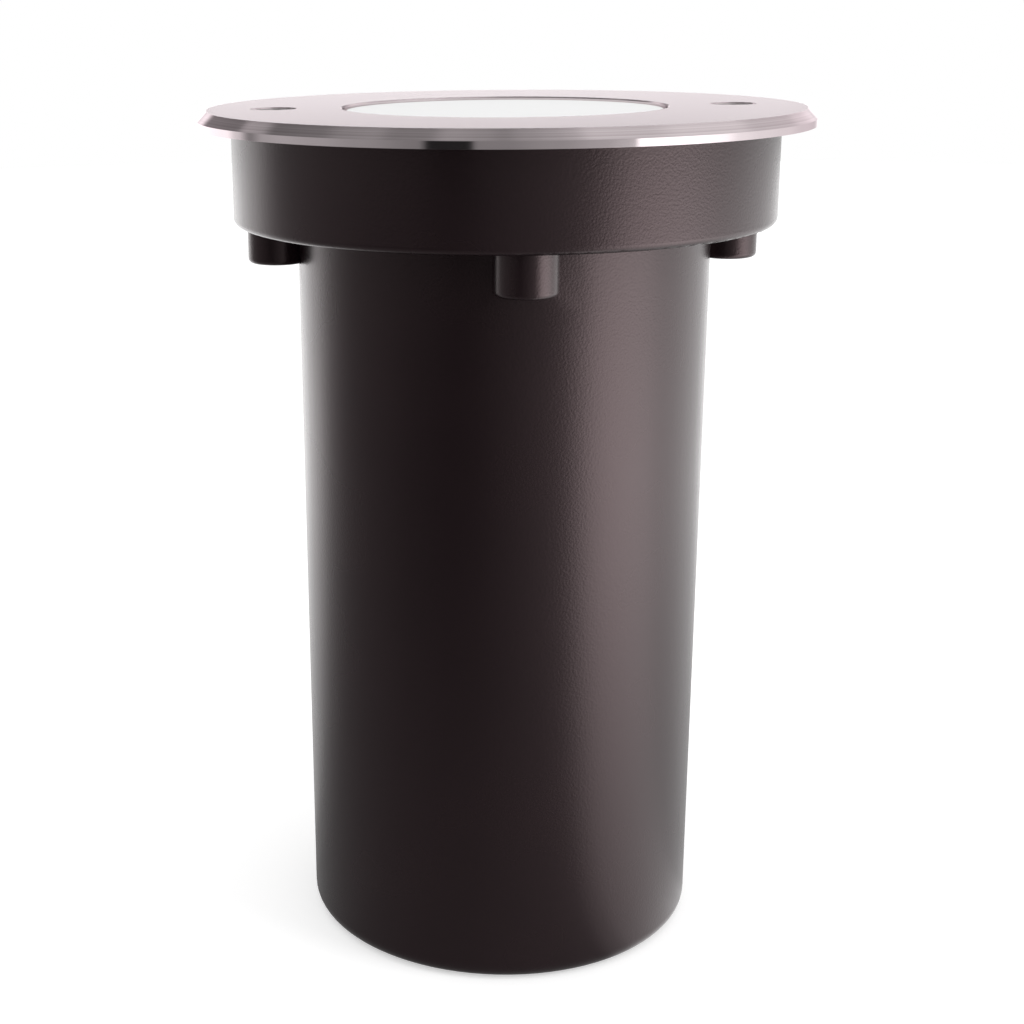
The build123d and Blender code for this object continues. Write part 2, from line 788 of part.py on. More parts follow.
# Moulded block with a bore for each pole, two screw wells a pole, and one fixing hole.
with BuildPart() as terminal_block:
    with BuildSketch(Plane.XY.offset(floor_top_z)):
        with Locations((0, terminal_y)):
            RectangleRounded(terminal_length, terminal_depth, terminal_corner_r)
    extrude(amount=terminal_height)
    with BuildSketch(Plane.XZ.offset(-terminal_y - terminal_depth / 2)):
        with Locations((0, terminal_bore_z)):
            with GridLocations(terminal_pitch, 1, terminal_poles, 1):
                Circle(terminal_bore_r)
    extrude(amount=terminal_depth, mode=Mode.SUBTRACT)
    with BuildSketch(Plane.XY.offset(terminal_top_z)):
        with Locations((0, terminal_y)):
            with GridLocations(terminal_pitch, 2 * terminal_screw_y, terminal_poles, 2):
                Circle(m3_clearance_r)
    extrude(amount=terminal_bore_z - terminal_top_z, mode=Mode.SUBTRACT)
    with BuildSketch(Plane.XY.offset(floor_top_z)):
        with Locations((terminal_pitch / 2, terminal_y)):
            Circle(m3_hole_r)
    extrude(amount=terminal_height, mode=Mode.SUBTRACT)

# Brass clamping sleeves, one a pole, drilled for the wires and the screws.
with BuildPart() as terminal_clamps:
    with BuildSketch(Plane.XZ.offset(-terminal_y - terminal_depth / 2 + sleeve_inset)):
        with Locations((0, terminal_bore_z)):
            with GridLocations(terminal_pitch, 1, terminal_poles, 1):
                Circle(terminal_bore_r - fit_gap)
                Circle(terminal_wire_r, mode=Mode.SUBTRACT)
    extrude(amount=terminal_depth - 2 * sleeve_inset)
    with BuildSketch(Plane.XY.offset(terminal_top_z)):
        with Locations((0, terminal_y)):
            with GridLocations(terminal_pitch, 2 * terminal_screw_y, terminal_poles, 2):
                Circle(m3_hole_r)
    extrude(amount=terminal_bore_z - terminal_top_z, mode=Mode.SUBTRACT)

# Grub screws, two a pole, each with a slot.
terminal_screw_base_z = terminal_bore_z + terminal_wire_r
with BuildPart() as terminal_screws:
    with BuildSketch(Plane.XY.offset(terminal_screw_base_z)):
        with Locations((0, terminal_y)):
            with GridLocations(terminal_pitch, 2 * terminal_screw_y, terminal_poles, 2):
                Circle(m3_r)
    extrude(amount=terminal_screw_length)
    with BuildSketch(Plane.XY.offset(terminal_screw_base_z + terminal_screw_length)):
        with Locations((0, terminal_y)):
            with GridLocations(terminal_pitch, 2 * terminal_screw_y, terminal_poles, 2):
                Rectangle(2 * m3_r, terminal_slot_width)
    extrude(amount=-terminal_slot_depth, mode=Mode.SUBTRACT)

with BuildPart() as terminal_block_screw:
    with Locations((terminal_pitch / 2, terminal_y, terminal_top_z)):
        add(pan_screw(terminal_height + terminal_hole_depth - loose_gap))

# Tinned ring tag on the earth boss, with a crimped tail towards the terminal block.
earth_seat_z = floor_top_z + earth_boss_height
earth_barrel_z = earth_seat_z + earth_tag_t
with BuildPart() as earth_tag:
    with BuildSketch(Plane.XY.offset(earth_seat_z)):
        with Locations((earth_x, earth_y)):
            Circle(earth_boss_r)
            with Locations((0, -earth_tag_length / 2)):
                Rectangle(earth_boss_r, earth_tag_length)
            Circle(m4_clearance_r, mode=Mode.SUBTRACT)
    extrude(amount=earth_tag_t)
    with BuildSketch(Plane.XZ.offset(earth_tag_length - earth_y)):
        with Locations((earth_x, earth_barrel_z)):
            Circle(earth_barrel_r)
    extrude(amount=earth_barrel_length)
    with BuildSketch(Plane.XZ.offset(earth_tag_length - earth_y)):
        with Locations((earth_x, earth_barrel_z)):
            Circle(lead_r + fit_gap)
    extrude(amount=earth_barrel_length, mode=Mode.SUBTRACT)

with BuildPart() as earth_screw:
    with BuildSketch(Plane.XY.offset(earth_seat_z + earth_tag_t)):
        with Locations((earth_x, earth_y)):
            Circle(countersink_r - head_recess)
    extrude(amount=m3_head_height)
    fillet(earth_screw.edges().group_by(Axis.Z)[-1], m3_head_edge_r)
    with BuildSketch(Plane.XY.offset(earth_seat_z + earth_tag_t)):
        with Locations((earth_x, earth_y)):
            Circle(m4_r)
    extrude(amount=earth_screw_tip_gap - earth_screw_length)
    with BuildSketch(Plane.XY.offset(earth_seat_z + earth_tag_t + m3_head_height)):
        with Locations((earth_x, earth_y)):
            RegularPolygon(socket_flats / 2, 6, major_radius=False)
    extrude(amount=-m3_socket_depth, mode=Mode.SUBTRACT)

# ------------------------------------------------------------------ cable gland

gland_washer_base_z = base_recess - gland_washer_thickness
gland_flange_base_z = gland_washer_base_z - gland_flange_height
gland_basket_base_z = gland_flange_base_z - gland_basket_length
gland_stem_top_z = floor_top_z + lock_nut_height

# Gland body: a stem up through the floor, a hexagon flange, and a basket for the seal below.
with BuildPart() as gland_body:
    with BuildSketch(Plane.XY.offset(gland_flange_base_z)):
        RegularPolygon(gland_flats / 2, 6, major_radius=False)
    extrude(amount=gland_flange_height)
    with BuildSketch(Plane.XY.offset(gland_washer_base_z)):
        Circle(gland_stem_r)
    extrude(amount=gland_stem_top_z - gland_washer_base_z)
    with BuildSketch(Plane.XY.offset(gland_flange_base_z)):
        Circle(gland_basket_r)
    extrude(amount=-gland_basket_length)
    with BuildSketch(Plane.XY.offset(gland_basket_base_z)):
        Circle(gland_stem_bore_r)
    extrude(amount=gland_stem_top_z - gland_basket_base_z, mode=Mode.SUBTRACT)
    with BuildSketch(Plane.XY.offset(gland_basket_base_z)):
        Circle(gland_seal_seat_r)
    extrude(amount=gland_basket_length, mode=Mode.SUBTRACT)

# Flat sealing washer between the flange and the floor.
with BuildPart() as gland_washer:
    with BuildSketch(Plane.XY.offset(gland_washer_base_z)):
        Circle(gland_washer_r)
        Circle(gland_hole_r, mode=Mode.SUBTRACT)
    extrude(amount=gland_washer_thickness)

# Lock nut on the stem, on the wiring side of the floor.
with BuildPart() as gland_lock_nut:
    with BuildSketch(Plane.XY.offset(floor_top_z)):
        RegularPolygon(gland_flats / 2, 6, major_radius=False)
        Circle(gland_stem_r + gland_thread_gap, mode=Mode.SUBTRACT)
    extrude(amount=lock_nut_height)

# Rubber seal round the cable.
with BuildPart() as gland_seal:
    with BuildSketch(Plane.XY.offset(gland_flange_base_z)):
        Circle(gland_seal_r)
        Circle(gland_cable_r, mode=Mode.SUBTRACT)
    extrude(amount=-gland_seal_length)

# Cap that squeezes the seal: a hexagon skirt with a domed end and a mouth for the cable.
gland_cap_top_z = gland_flange_base_z - gland_thread_gap
gland_cap_base_z = gland_cap_top_z - gland_cap_length
gland_cap_corner_r = gland_cap_flats / 2 / cos(radians(30))
with BuildPart() as gland_cap:
    with BuildSketch(Plane.XY.offset(gland_cap_base_z)):
        RegularPolygon(gland_cap_flats / 2, 6, major_radius=False)
    extrude(amount=gland_cap_length)
    with BuildSketch(Plane.XZ) as cap_envelope:
        with BuildLine():
            Polyline(
                (0, gland_cap_base_z),
                (gland_cap_mouth_r + gland_cap_lip, gland_cap_base_z),
                (gland_cap_flats / 2, gland_cap_base_z + gland_cap_dome_height),
                (gland_cap_corner_r, gland_cap_base_z + gland_cap_corner_height),
                (gland_cap_corner_r, gland_cap_top_z),
                (0, gland_cap_top_z),
                close=True,
            )
        make_face()
    revolve(axis=Axis.Z, mode=Mode.INTERSECT)
    with BuildSketch(Plane.XY.offset(gland_cap_base_z + gland_cap_floor)):
        Circle(gland_basket_r + gland_thread_gap)
    extrude(amount=gland_cap_length, mode=Mode.SUBTRACT)
    with BuildSketch(Plane.XY.offset(gland_cap_base_z)):
        Circle(gland_cap_mouth_r)
    extrude(amount=gland_cap_floor, mode=Mode.SUBTRACT)

# ------------------------------------------------------------------ leads


def corner_radii(points):
    """The radius at each inner corner of a route: its arc takes 0.45 of the shorter run beside it."""
    spots = [Vector(point) for point in points]
    radii = []
    for before, here, after in zip(spots, spots[1:], spots[2:]):
        turn = (here - before).get_angle(after - here)
        shorter = min((here - before).length, (after - here).length)
        radii.append(0.45 * shorter / tan(radians(turn / 2)))
    return radii


sleeve_mouth_y = terminal_y + terminal_depth / 2 - sleeve_inset

# Two leads, from the holder through the grommet down to two poles of the terminal block.
grommet_top_z = plate_top_z + grommet_flange_t
grommet_base_z = plate_base_z - grommet_flange_t
with BuildPart() as lamp_leads:
    for side, pole_x in ((-1, 0), (1, terminal_pitch)):
        route = [
            (side * lead_exit_x, 0, chamber_base_z),
            (side * lead_exit_x, 0, holder_base_z - lead_drop),
            (side * lead_sag_x, lead_sag_y, grommet_top_z + lead_sag_above_grommet),
            (side * lead_hole_pitch / 2, lead_hole_y, grommet_top_z + lead_straight),
            (side * lead_hole_pitch / 2, lead_hole_y, grommet_base_z - lead_straight),
            (pole_x, lead_fan_y, terminal_bore_z),
            (pole_x, sleeve_mouth_y - lead_in_sleeve, terminal_bore_z),
        ]
        radii = corner_radii(route)
        print("lamp lead radii", [round(radius, 1) for radius in radii])
        with BuildLine():
            FilletPolyline(*route, radius=radii)
        with BuildSketch(Plane(origin=route[0], z_dir=(0, 0, -1))):
            Circle(lead_r)
        sweep()

# The earth lead, from the tag on the housing to the third pole.
with BuildPart() as earth_lead:
    barrel_inner_y = earth_y - earth_tag_length
    route = [
        (earth_x, barrel_inner_y, earth_barrel_z),
        (earth_x, barrel_inner_y - 2 * earth_barrel_length, earth_barrel_z),
        (-terminal_pitch, earth_lead_turn_y, terminal_bore_z),
        (-terminal_pitch, sleeve_mouth_y - lead_in_sleeve, terminal_bore_z),
    ]
    radii = corner_radii(route)
    print("earth lead radii", [round(radius, 1) for radius in radii])
    with BuildLine():
        FilletPolyline(*route, radius=radii)
    with BuildSketch(Plane(origin=route[0], z_dir=(0, -1, 0))):
        Circle(lead_r)
    sweep()

# ------------------------------------------------------------------ files

pieces = {
    "housing": housing,
    "thread_inserts": thread_inserts,
    "lower_glass_gasket": lower_glass_gasket,
    "glass_lens": glass_lens,
    "upper_glass_gasket": upper_glass_gasket,
    "clamp_ring": clamp_ring,
    "clamp_ring_screws": clamp_ring_screws,
    "trim_ring": trim_ring,
    "trim_screw_right": trim_screw_right,
    "trim_screw_left": trim_screw_left,
    "mounting_plate": mounting_plate,
    "mounting_plate_screws": mounting_plate_screws,
    "lamp_bracket": lamp_bracket,
    "lamp_bracket_screws": lamp_bracket_screws,
    "lamp_bracket_nuts": lamp_bracket_nuts,
    "wire_grommet": wire_grommet,
    "gimbal_ring": gimbal_ring,
    "gimbal_washers": gimbal_washers,
    "gimbal_pivot_screws": gimbal_pivot_screws,
    "lamp_clip": lamp_clip,
    "lamp_body": lamp_body,
    "lamp_lens": lamp_lens,
    "lamp_pins": lamp_pins,
    "lamp_holder": lamp_holder,
    "holder_contacts": holder_contacts,
    "holder_bracket": holder_bracket,
    "holder_bracket_screws": holder_bracket_screws,
    "holder_screws": holder_screws,
    "terminal_block": terminal_block,
    "terminal_clamps": terminal_clamps,
    "terminal_screws": terminal_screws,
    "terminal_block_screw": terminal_block_screw,
    "earth_tag": earth_tag,
    "earth_screw": earth_screw,
    "gland_body": gland_body,
    "gland_washer": gland_washer,
    "gland_lock_nut": gland_lock_nut,
    "gland_seal": gland_seal,
    "gland_cap": gland_cap,
    "lamp_leads": lamp_leads,
    "earth_lead": earth_lead,
}

os.makedirs("parts", exist_ok=True)
for name, piece in pieces.items():
    piece.part.label = name
    export_step(piece.part, f"parts/{name}.step")
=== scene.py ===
import json
import math

import bmesh
import bpy
from mathutils import Matrix, Vector

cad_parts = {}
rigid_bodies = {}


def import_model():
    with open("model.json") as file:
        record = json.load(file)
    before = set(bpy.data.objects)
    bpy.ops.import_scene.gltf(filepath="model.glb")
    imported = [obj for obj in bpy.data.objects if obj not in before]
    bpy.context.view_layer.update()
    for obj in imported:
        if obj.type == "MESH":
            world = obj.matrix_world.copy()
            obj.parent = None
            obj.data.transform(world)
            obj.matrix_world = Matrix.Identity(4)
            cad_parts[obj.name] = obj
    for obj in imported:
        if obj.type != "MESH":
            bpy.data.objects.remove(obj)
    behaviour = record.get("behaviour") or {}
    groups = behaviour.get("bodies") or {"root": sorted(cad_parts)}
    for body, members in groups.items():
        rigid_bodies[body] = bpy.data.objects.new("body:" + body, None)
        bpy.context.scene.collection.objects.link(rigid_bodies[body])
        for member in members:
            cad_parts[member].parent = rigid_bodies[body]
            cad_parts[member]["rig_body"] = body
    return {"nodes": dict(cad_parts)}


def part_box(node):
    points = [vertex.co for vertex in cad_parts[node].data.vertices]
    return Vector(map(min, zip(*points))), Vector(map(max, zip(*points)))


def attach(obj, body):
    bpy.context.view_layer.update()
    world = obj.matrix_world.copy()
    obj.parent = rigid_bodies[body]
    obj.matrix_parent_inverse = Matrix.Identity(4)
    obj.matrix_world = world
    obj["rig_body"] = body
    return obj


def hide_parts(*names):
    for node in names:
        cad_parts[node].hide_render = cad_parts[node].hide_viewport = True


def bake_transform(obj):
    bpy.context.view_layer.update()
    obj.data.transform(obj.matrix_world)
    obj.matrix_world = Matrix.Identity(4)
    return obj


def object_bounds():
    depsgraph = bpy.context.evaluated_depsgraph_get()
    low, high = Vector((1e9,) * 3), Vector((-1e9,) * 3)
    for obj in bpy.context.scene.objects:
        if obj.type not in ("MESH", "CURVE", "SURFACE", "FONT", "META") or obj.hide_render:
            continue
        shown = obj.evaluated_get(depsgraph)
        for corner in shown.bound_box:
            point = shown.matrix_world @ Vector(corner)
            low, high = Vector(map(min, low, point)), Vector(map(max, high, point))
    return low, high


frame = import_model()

cad_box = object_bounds()
# Sizes are written in millimetres, and this turns them to metres.
MM = 0.001

# ---------------------------------------------------------------- studio
# A plain photo studio: pale paper under the light, a white backdrop behind it, a dark room behind the
# camera, and one tall softbox on the camera's right. The camera stands just above the trim ring.

# Fitted to the outlines in the photograph. The shift frames the light as the photograph does.
camera_place = Vector((-29.49, -324.61, 175.14)) * MM
camera_heading = math.radians(1.784)
camera_pitch = math.radians(16.416)
camera_roll = math.radians(-0.547)

forward = Vector(
    (
        math.sin(camera_heading) * math.cos(camera_pitch),
        math.cos(camera_heading) * math.cos(camera_pitch),
        -math.sin(camera_pitch),
    )
)
level_right = Vector((math.cos(camera_heading), -math.sin(camera_heading), 0))
level_up = level_right.cross(forward)
camera_right = level_right * math.cos(camera_roll) + level_up * math.sin(camera_roll)
camera_up = level_up * math.cos(camera_roll) - level_right * math.sin(camera_roll)

camera_data = bpy.data.cameras.new("camera")
camera_data.lens = 62.30
camera_data.sensor_width = 36
camera_data.shift_x = 0.1094
camera_data.clip_start = 0.01
camera_data.clip_end = 20
camera = bpy.data.objects.new("camera", camera_data)
camera_turn = Matrix((camera_right, camera_up, -forward)).transposed().to_4x4()
camera.matrix_world = Matrix.Translation(camera_place) @ camera_turn
bpy.context.scene.collection.objects.link(camera)
bpy.context.scene.camera = camera
bpy.context.scene.view_settings.view_transform = "Standard"


def add_node(tree, kind, settings=None, links=None):
    """Adds a node. Settings are its properties or its inputs' values, links are what feeds its inputs."""
    node = tree.nodes.new(kind)
    for name, value in (settings or {}).items():
        if isinstance(name, str) and hasattr(node, name):
            setattr(node, name, value)
        else:
            node.inputs[name].default_value = value
    for name, socket in (links or {}).items():
        tree.links.new(socket, node.inputs[name])
    return node


# Brightness of the room that glossy surfaces show, where 1 is white, by the angle in degrees from the
# camera towards its right: overhead, at eye level and on the floor.
brightest = 5.0
upper_levels = (
    (-180, 0.2), (-169, 0.35), (-157, 1.2), (-152, 0.25), (-137, 0.22), (-134, 0.45), (-129, 0.42),
    (-125, 0.19), (-113, 0.22), (-106, 0.32), (-98, 0.35), (-92, 0.26), (-80, 0.27), (-70, 0.4),
    (-40, 0.36), (0, 0.31), (45, 0.4), (66, 0.47), (76, 0.55), (85, 0.76), (102, 0.75), (111, 0.9),
    (125, 0.9), (131, 0.72), (143, 0.73), (149, 0.9), (158, 1.05), (169, 0.4), (180, 0.2),
)
eye_levels = (
    (-180, 2.25), (-171, 2.03), (-166, 1.5), (-154, 1.7), (-121, 1.5), (-113, 0.9), (-104, 0.28),
    (-96, 0.5), (-87, 0.54), (-70, 0.48), (-53, 0.39), (-30, 0.27), (-26, 0.02), (-12, 0.02), (-9, 0.29),
    (0, 0.29), (18, 0.38), (35, 0.51), (46, 0.6), (49, 1.9), (70, 2.0), (84, 1.6), (92, 1.2), (104, 1.07),
    (121, 1.0), (137, 0.86), (154, 0.75), (166, 1.2), (172, 1.93), (180, 2.25),
)
floor_levels = (
    (-180, 1.4), (-150, 2.3), (-124, 2.0), (-108, 0.8), (-92, 0.4), (-70, 0.27), (-46, 0.13), (-26, 0.05),
    (-12, 0.08), (0, 0.2), (16, 0.4), (34, 0.72), (41, 2.4), (50, 4.4), (62, 5.0), (74, 4.8), (84, 4.0),
    (95, 2.6), (110, 2.05), (140, 1.6), (155, 2.0), (180, 1.4),
)
# Eye level gives way to overhead between these heights of a direction, where 1 is straight up.
eye_level_top = 0.055
overhead_start = 0.085
# Painted shade: as metal shows it, the paper round the light is painted down to one darker level, most near
# its middle and not at all past the end, both in metres. The share is how much of the paper's own levels the
# painted shade takes away at most.
painted_shade_level = 0.32
shade_full = 0.05
shade_end = 0.35
shade_share = 0.75

camera_angle = math.atan2(camera_place.x, -camera_place.y)
to_the_right = (math.cos(camera_angle), math.sin(camera_angle), 0)
to_the_camera = (math.sin(camera_angle), -math.cos(camera_angle), 0)


def room_level(tree, direction, levels):
    """Adds the nodes that give a brightness by the direction's angle from the camera."""
    dot = {"operation": "DOT_PRODUCT"}
    across = add_node(tree, "ShaderNodeVectorMath", {**dot, 1: to_the_right}, {0: direction})
    towards = add_node(tree, "ShaderNodeVectorMath", {**dot, 1: to_the_camera}, {0: direction})
    sides = {0: across.outputs["Value"], 1: towards.outputs["Value"]}
    angle = add_node(tree, "ShaderNodeMath", {"operation": "ARCTAN2"}, sides)
    full_turn = {"From Min": -math.pi, "From Max": math.pi}
    place = add_node(tree, "ShaderNodeMapRange", full_turn, {"Value": angle.outputs[0]})
    ramp = add_node(tree, "ShaderNodeValToRGB", links={"Fac": place.outputs[0]})
    ramp.color_ramp.interpolation = "EASE"
    stops = ramp.color_ramp.elements
    stops.remove(stops[-1])
    stops[0].position = 0
    for degrees, _ in levels[1:]:
        stops.new((degrees + 180) / 360)
    for stop, (_, level) in zip(stops, levels):
        stop.color = (level / brightest,) * 3 + (1,)
    return ramp.outputs["Color"]


def straight_rays(tree):
    """Adds the nodes that tell rays from the camera, or from it through glass, and returns their output."""
    rays = add_node(tree, "ShaderNodeLightPath")
    kinds = {0: rays.outputs["Is Camera Ray"], 1: rays.outputs["Is Transmission Ray"]}
    return add_node(tree, "ShaderNodeMath", {"operation": "MAXIMUM"}, kinds).outputs[0]


white = (1, 1, 1, 1)
studio = bpy.data.worlds.new("studio")
bpy.context.scene.world = studio
studio.use_nodes = True
tree = studio.node_tree
tree.nodes.clear()
direction = add_node(tree, "ShaderNodeTexCoord").outputs["Generated"]
eye_level = room_level(tree, direction, eye_levels)
height = add_node(tree, "ShaderNodeSeparateXYZ", links={"Vector": direction}).outputs["Z"]
upwards = {"From Min": eye_level_top, "From Max": overhead_start}
overhead = add_node(tree, "ShaderNodeMapRange", upwards, {"Value": height})
levels = {0: overhead.outputs[0], 6: eye_level, 7: room_level(tree, direction, upper_levels)}
room = add_node(tree, "ShaderNodeMix", {"data_type": "RGBA"}, levels)
room_in_metal = add_node(tree, "ShaderNodeBackground", {"Strength": brightest}, {"Color": room.outputs[2]})
plain_light = add_node(tree, "ShaderNodeBackground", {"Color": white, "Strength": 0.92})
backdrop = add_node(tree, "ShaderNodeBackground", {"Color": white, "Strength": 1.0})
is_glossy = add_node(tree, "ShaderNodeLightPath").outputs["Is Glossy Ray"]
lights = {0: is_glossy, 1: plain_light.outputs[0], 2: room_in_metal.outputs[0]}
lit_room = add_node(tree, "ShaderNodeMixShader", links=lights)
views = {0: straight_rays(tree), 1: lit_room.outputs[0], 2: backdrop.outputs[0]}
surroundings = add_node(tree, "ShaderNodeMixShader", links=views)
add_node(tree, "ShaderNodeOutputWorld", links={"Surface": surroundings.outputs[0]})

floor_r = 1.6
floor_sides = 96
floor_mesh = bpy.data.meshes.new("paper_floor")
floor_angles = [2 * math.pi * i / floor_sides for i in range(floor_sides)]
floor_edge = [(floor_r * math.cos(a), floor_r * math.sin(a), 0) for a in floor_angles]
floor_mesh.from_pydata(floor_edge, [], [range(floor_sides)])
floor = bpy.data.objects.new("paper_floor", floor_mesh)
bpy.context.scene.collection.objects.link(floor)

# White paper: matt, and lit up for the camera so far that only the light's own shadow shows on it.
paper = bpy.data.materials.new("white_paper")
paper.use_nodes = True
tree = paper.node_tree
tree.nodes.clear()
matt_white = add_node(tree, "ShaderNodeBsdfDiffuse", {"Color": (0.8, 0.8, 0.8, 1)})
lit_up = add_node(tree, "ShaderNodeEmission", {"Strength": 0.45})
for_camera = add_node(tree, "ShaderNodeAddShader", links={0: matt_white.outputs[0], 1: lit_up.outputs[0]})
from_light = add_node(tree, "ShaderNodeTexCoord").outputs["Object"]
paper_levels = room_level(tree, from_light, floor_levels)
distance = add_node(tree, "ShaderNodeVectorMath", {"operation": "LENGTH"}, {0: from_light}).outputs["Value"]
inwards = {"From Min": shade_end, "From Max": shade_full, "To Max": shade_share}
nearness = add_node(tree, "ShaderNodeMapRange", inwards, {"Value": distance})
# Painted shade: near the light, the paper's levels seen in metal are mixed towards one darker level.
shaded = {"data_type": "RGBA", 7: (painted_shade_level / brightest,) * 3 + (1,)}
painted_shade_mix = add_node(tree, "ShaderNodeMix", shaded, {0: nearness.outputs[0], 6: paper_levels})
paper_in_metal = add_node(tree, "ShaderNodeEmission", {"Strength": brightest}, {"Color": painted_shade_mix.outputs[2]})
views = {0: straight_rays(tree), 1: matt_white.outputs[0], 2: for_camera.outputs[0]}
plain_paper = add_node(tree, "ShaderNodeMixShader", links=views)
is_glossy = add_node(tree, "ShaderNodeLightPath").outputs["Is Glossy Ray"]
papers = {0: is_glossy, 1: plain_paper.outputs[0], 2: paper_in_metal.outputs[0]}
shown_paper = add_node(tree, "ShaderNodeMixShader", links=papers)
add_node(tree, "ShaderNodeOutputMaterial", links={"Surface": shown_paper.outputs[0]})
floor_mesh.materials.append(paper)

# The softbox stands well round to the camera's right. Metal shows the room's levels instead of it.
softbox_angle = camera_angle + math.radians(66)
softbox_distance = 0.7
softbox_height = 0.45
softbox_data = bpy.data.lights.new("softbox", "AREA")
softbox_data.shape = "RECTANGLE"
softbox_data.size = 0.35
softbox_data.size_y = 0.6
softbox_data.energy = 2.0
softbox = bpy.data.objects.new("softbox", softbox_data)
softbox_place = Vector((math.sin(softbox_angle), -math.cos(softbox_angle), 0)) * softbox_distance
softbox_place.z = softbox_height
softbox_turn = (softbox_place - (cad_box[0] + cad_box[1]) / 2).to_track_quat("Z", "Y").to_matrix().to_4x4()
softbox.matrix_world = Matrix.Translation(softbox_place) @ softbox_turn
softbox.visible_glossy = False
bpy.context.scene.collection.objects.link(softbox)

# ---------------------------------------------------------------- housing
# One thin walled aluminium pressure casting: body, collar and four screw bosses. It is shot blasted and
# powder coated black, and the coat's fine orange peel breaks up every highlight.


def linear(hex_colour):
    """An sRGB hex colour as the linear RGBA that a shader takes."""
    levels = [int(hex_colour[i : i + 2], 16) / 255 for i in (1, 3, 5)]
    return tuple(v / 12.92 if v <= 0.04045 else ((v + 0.055) / 1.055) ** 2.4 for v in levels) + (1.0,)


def per_metre(size_mm):
    """The texture scale that makes one feature this many millimetres wide."""
    return 1 / (size_mm * MM)


def start_material(name):
    """A new material: itself, its node tree, and the output with the place on the object in metres."""
    material = bpy.data.materials.new(name)
    material.use_nodes = True
    material.node_tree.nodes.clear()
    return material, material.node_tree, add_node(material.node_tree, "ShaderNodeTexCoord").outputs["Object"]


def add_finish(tree, settings, pattern, colours, roughness=None, relief=None, links=None):
    """Adds the surface shader and the material's output. The pattern, from 0 to 1, takes the colour from
    one hex value to another, and the roughness too where it has two values. The relief is a bump node."""
    tones = {"data_type": "RGBA", 6: linear(colours[0]), 7: linear(colours[1])}
    inputs = {"Base Color": add_node(tree, "ShaderNodeMix", tones, {0: pattern}).outputs[2]}
    if roughness is not None:
        span = {"To Min": roughness[0], "To Max": roughness[1]}
        inputs["Roughness"] = add_node(tree, "ShaderNodeMapRange", span, {"Value": pattern}).outputs[0]
    if relief is not None:
        inputs["Normal"] = relief.outputs[0]
    inputs.update(links or {})
    surface = add_node(tree, "ShaderNodeBsdfPrincipled", settings, inputs)
    add_node(tree, "ShaderNodeOutputMaterial", links={"Surface": surface.outputs[0]})


def dress(material, *nodes):
    """Gives CAD nodes this material."""
    for node in nodes:
        for slot in frame["nodes"][node].material_slots:
            slot.material = material


# Black polyester powder coat, cured: a satin skin, dimpled every 0.4 mm, over a finer grain.
black_powder_coat, tree, place = start_material("black_powder_coat")
peel = add_node(
    tree, "ShaderNodeTexNoise", {"Scale": per_metre(0.4), "Detail": 1.5, "Roughness": 0.45}, {"Vector": place}
)
grain = add_node(tree, "ShaderNodeTexNoise", {"Scale": per_metre(0.3), "Detail": 1.0}, {"Vector": place})
drift = add_node(tree, "ShaderNodeTexNoise", {"Scale": per_metre(22), "Detail": 2.0}, {"Vector": place})
peel_relief = add_node(
    tree, "ShaderNodeBump", {"Strength": 1.0, "Distance": 0.028 * MM}, {"Height": peel.outputs["Fac"]}
)
relief = add_node(
    tree,
    "ShaderNodeBump",
    {"Strength": 0.35, "Distance": 0.02 * MM},
    {"Height": grain.outputs["Fac"], "Normal": peel_relief.outputs[0]},
)
add_finish(
    tree,
    {"IOR": 1.5, "Specular Tint": linear("#ffe4e6")},
    drift.outputs["Fac"],
    ("#130b0e", "#1a1013"),
    (0.24, 0.3),
    relief,
)
dress(black_powder_coat, "housing")

# ---------------------------------------------------------------- thread inserts
# Stainless sleeves pressed into the four bosses, so that the screws don't tear the aluminium's thread.
# They share their finish with every machine screw, nut and washer of the light.

# Stainless steel of cold headed screws: bright, with a faint grain and fine handling scratches.
stainless_fastener, tree, place = start_material("stainless_fastener")
grain = add_node(tree, "ShaderNodeTexNoise", {"Scale": per_metre(0.25), "Detail": 3.0}, {"Vector": place})
stretch = add_node(tree, "ShaderNodeMapping", {"Scale": (1, 1, 9)}, {"Vector": place})
scratches = add_node(
    tree, "ShaderNodeTexNoise", {"Scale": per_metre(1.2), "Detail": 4.0}, {"Vector": stretch.outputs[0]}
)
relief = add_node(
    tree, "ShaderNodeBump", {"Strength": 0.2, "Distance": 0.006 * MM}, {"Height": grain.outputs["Fac"]}
)
add_finish(tree, {"Metallic": 1.0}, scratches.outputs["Fac"], ("#b7afaf", "#d5cdcd"), (0.2, 0.36), relief)
dress(stainless_fastener, "thread_inserts", "lamp_bracket_nuts", "gimbal_washers", "terminal_screws")

# ---------------------------------------------------------------- cable gland
# A black nylon M20 gland in the recessed floor: body, lock nut and cap, a rubber seal and a flat washer.
# The mouldings have the matt, slightly cloudy skin of glass filled nylon.

# Glass filled nylon: a soft black, a little lighter where the glass comes near the skin.
black_nylon, tree, place = start_material("black_nylon")
spark = add_node(tree, "ShaderNodeTexNoise", {"Scale": per_metre(0.25), "Detail": 3.0}, {"Vector": place})
cloud = add_node(tree, "ShaderNodeTexNoise", {"Scale": per_metre(5), "Detail": 2.0}, {"Vector": place})
relief = add_node(
    tree, "ShaderNodeBump", {"Strength": 0.35, "Distance": 0.015 * MM}, {"Height": spark.outputs["Fac"]}
)
add_finish(tree, {"IOR": 1.53}, cloud.outputs["Fac"], ("#18181a", "#242426"), (0.42, 0.54), relief)
dress(black_nylon, "gland_body", "gland_lock_nut", "gland_cap")

